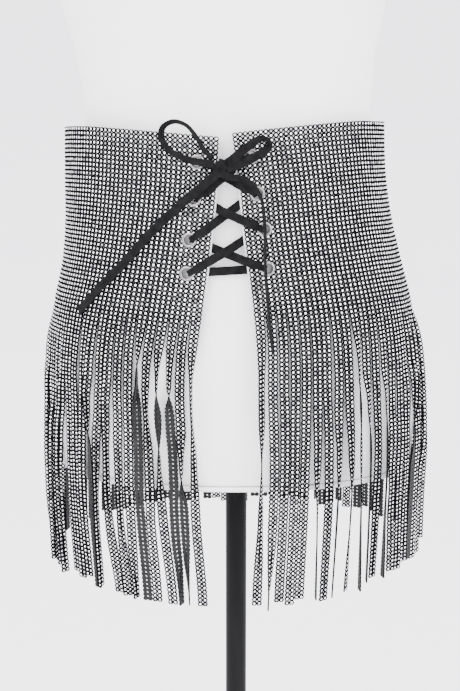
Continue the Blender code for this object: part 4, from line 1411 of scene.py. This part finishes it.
class BELT_OT_lacing(Operator):
    """Threads the lace through the eyelets"""

    bl_idname = "belt.lacing"
    bl_label = "Lacing"

    def execute(self, context):
        rings = context.scene.belt_lace.rings
        routes = {"lace_bar": bar_route()}
        for lower, over_from_left in ((4, True), (3, False), (2, True)):
            left, right = ("left", lower), ("right", lower)
            up_right, up_left = ("right", lower - 1), ("left", lower - 1)
            routes[f"lace_left_{lower}"] = crossing_route(left, up_right, over_from_left)
            routes[f"lace_right_{lower}"] = crossing_route(right, up_left, not over_from_left)
        routes["lace_end_left"] = end_route(("left", 1), TOP_LEFT_END)
        routes["lace_end_right"] = end_route(("right", 1), TOP_RIGHT_END)
        for node, route in routes.items():
            tape, _ = suede_tape(f"suede_{node}", route, DRAWN_WIDTH, rings, LACE_WIDTH - DRAWN_WIDTH)
            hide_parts(node)
        return {"FINISHED"}


class BELT_OT_bow(Operator):
    """Ties the bow: its knot, two loops and two free tails"""

    bl_idname = "belt.bow"
    bl_label = "Bow"

    def execute(self, context):
        rings = context.scene.belt_lace.rings
        middle = front_point(*KNOT_PLACE)
        outward = front_normal(*KNOT_PLACE[:2])
        wide, deep, high = (length / 2 - LACE_THICKNESS / 2 for length in KNOT_SIZE)

        def knot_place(turns, lengths):
            angle = 2 * math.pi * turns
            rise = math.pi * np.clip(lengths, 0.015, 0.985)
            x, y, z = np.sin(rise) * np.cos(angle), np.sin(rise) * np.sin(angle), np.cos(rise)
            folds = 1 + 0.06 * np.sin(7 * z + 2.2 * x + 0.6) * np.abs(x)
            size = folds[:, None] * np.array([wide, deep, high]) * KNOT_CORE
            return np.array(middle) + np.sign([x, y, z]).T * np.abs([x, y, z]).T ** 0.8 * size

        knot = tube_grid("suede_knot", 40, 28, knot_place)
        along = Vector((math.sin(KNOT_LEAN), 0, math.cos(KNOT_LEAN)))
        across = Vector((math.cos(KNOT_LEAN), 0, -math.sin(KNOT_LEAN)))
        wrap_route = []
        for turn in np.linspace(*WRAP_TURNS, 24):
            up, out = math.sin(turn), math.cos(turn)
            wrap_route.append((middle + along * high * up + outward * deep * out, across))
        wrap, _ = suede_tape("suede_wrap", wrap_route, LACE_WIDTH, rings)
        dress(knot, "lace", suede_finish())
        join(knot, wrap)
        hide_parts("bow_knot")
        free = (
            ("bow_loop_left", LEFT_LOOP, "object"),
            ("bow_loop_right", RIGHT_LOOP, "object"),
            ("bow_tail_left", LEFT_TAIL, "bare"),
            ("bow_tail_right", RIGHT_TAIL, "bare"),
        )
        for node, stops, far_end in free:
            route = free_route(stops, 2 * len(stops))
            tape, path = suede_tape(f"suede_{node}", route, LACE_WIDTH, rings)
            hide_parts(node)
        return {"FINISHED"}


class BELT_OT_stage(Operator):
    """Sets the seamless floor, the soft lights and the photograph's camera"""

    bl_idname = "belt.stage"
    bl_label = "Stage"

    def execute(self, context):
        settings = context.scene.belt_stage
        floor = added(bpy.ops.mesh.primitive_plane_add, "seamless_floor", size=1)
        bpy.ops.transform.resize(value=(*FLOOR_SIZE, 1))
        bpy.ops.transform.translate(value=(0, FLOOR_BACK, 0))
        edge = FLOOR_BACK + FLOOR_SIZE[1] / 2
        with edited(settle(floor)):
            pick_edges(floor, lambda one, other: min(one.y, other.y) > edge - MM)
            for step in range(SWEEP_STEPS):
                one, two = (math.pi / 2 * share / SWEEP_STEPS for share in (step, step + 1))
                turn = Vector((0, math.sin(two) - math.sin(one), math.cos(one) - math.cos(two)))
                move = {"value": SWEEP_RADIUS * turn}
                bpy.ops.mesh.extrude_edges_move(TRANSFORM_OT_translate=move)
            bpy.ops.mesh.extrude_edges_move(TRANSFORM_OT_translate={"value": (0, 0, WALL_HEIGHT)})
        bpy.ops.object.shade_smooth()
        pale = tuple(settings.floor_colour)
        paper = Finish("floor_paper", pale, 0.85)
        tint = paper.noise(0.8, 2)
        lilac = (pale[0] * 0.985, pale[1] * 0.975, min(pale[2] * 1.01, 1))
        paper.shade(tint, (0.35, lilac), (0.65, pale))
        floor.data.materials.append(paper.material)
        lights = (
            ("key_light", (-1.2, -2.2, 2.3), settings.key_power, 1.8),
            ("fill_light", (1.9, -1.5, 1.6), settings.fill_power, 1.6),
            ("top_light", (0.1, 0.5, 2.9), settings.fill_power, 1.6),
        )
        for name, place, power, size in lights:
            light = added(bpy.ops.object.light_add, name, type="AREA", location=place)
            light.data.energy = power
            light.data.size = size
            aim = LIGHT_AIM - Vector(place)
            light.rotation_euler = aim.to_track_quat("-Z", "Y").to_euler()
        world = bpy.data.worlds.new("white_room")
        world.use_nodes = True
        room = world.node_tree.nodes["Background"].inputs
        room["Color"].default_value = (0.97, 0.97, 1.0, 1)
        room["Strength"].default_value = settings.world_strength
        context.scene.world = world
        camera = added(
            bpy.ops.object.camera_add,
            "photo_camera",
            location=(CAMERA_X, -CAMERA_DISTANCE, BELT_TOP + CAMERA_ABOVE_BELT),
            rotation=(math.pi / 2 - CAMERA_TILT, 0, 0),
        )
        camera.data.sensor_width = SENSOR_WIDTH
        camera.data.lens = SENSOR_WIDTH * FOCAL_PX / PHOTO_HEIGHT_PX
        camera.data.clip_start = 0.01
        context.scene.camera = camera
        return {"FINISHED"}


class BELT_PT_panel(Panel):
    """Lists the belt's operators"""

    bl_idname = "BELT_PT_panel"
    bl_label = "Rhinestone fringe belt"
    bl_space_type = "VIEW_3D"
    bl_region_type = "UI"
    bl_category = "Belt"

    def draw(self, context):
        for operator in OPERATORS:
            self.layout.operator(operator.bl_idname)
        for group, fields in (
            (context.scene.belt_form, ("sides", "levels")),
            (context.scene.belt_net, ("seed", "punched")),
            (context.scene.belt_lace, ("rings",)),
            (context.scene.belt_stage, ("floor_colour", "key_power", "fill_power", "world_strength")),
        ):
            for field in fields:
                self.layout.prop(group, field)


OPERATORS = (
    BELT_OT_form,
    BELT_OT_stand,
    BELT_OT_net,
    BELT_OT_facings,
    BELT_OT_eyelets,
    BELT_OT_lacing,
    BELT_OT_bow,
    BELT_OT_stage,
)
GROUPS = {
    "belt_form": FormSettings,
    "belt_net": BeltSettings,
    "belt_lace": LaceSettings,
    "belt_stage": StageSettings,
}


def register():
    for made in (*GROUPS.values(), *OPERATORS, BELT_PT_panel):
        bpy.utils.register_class(made)
    for name, group in GROUPS.items():
        setattr(bpy.types.Scene, name, PointerProperty(type=group))


def unregister():
    for name in GROUPS:
        delattr(bpy.types.Scene, name)
    for made in (BELT_PT_panel, *reversed(OPERATORS), *reversed(GROUPS.values())):
        bpy.utils.unregister_class(made)


def main():
    register()
    bpy.ops.belt.stage()
    bpy.ops.belt.form()
    bpy.ops.belt.stand()
    bpy.ops.belt.net()
    bpy.ops.belt.facings()
    bpy.ops.belt.eyelets()
    bpy.ops.belt.lacing()
    bpy.ops.belt.bow()


if __name__ == "__main__":
    main()
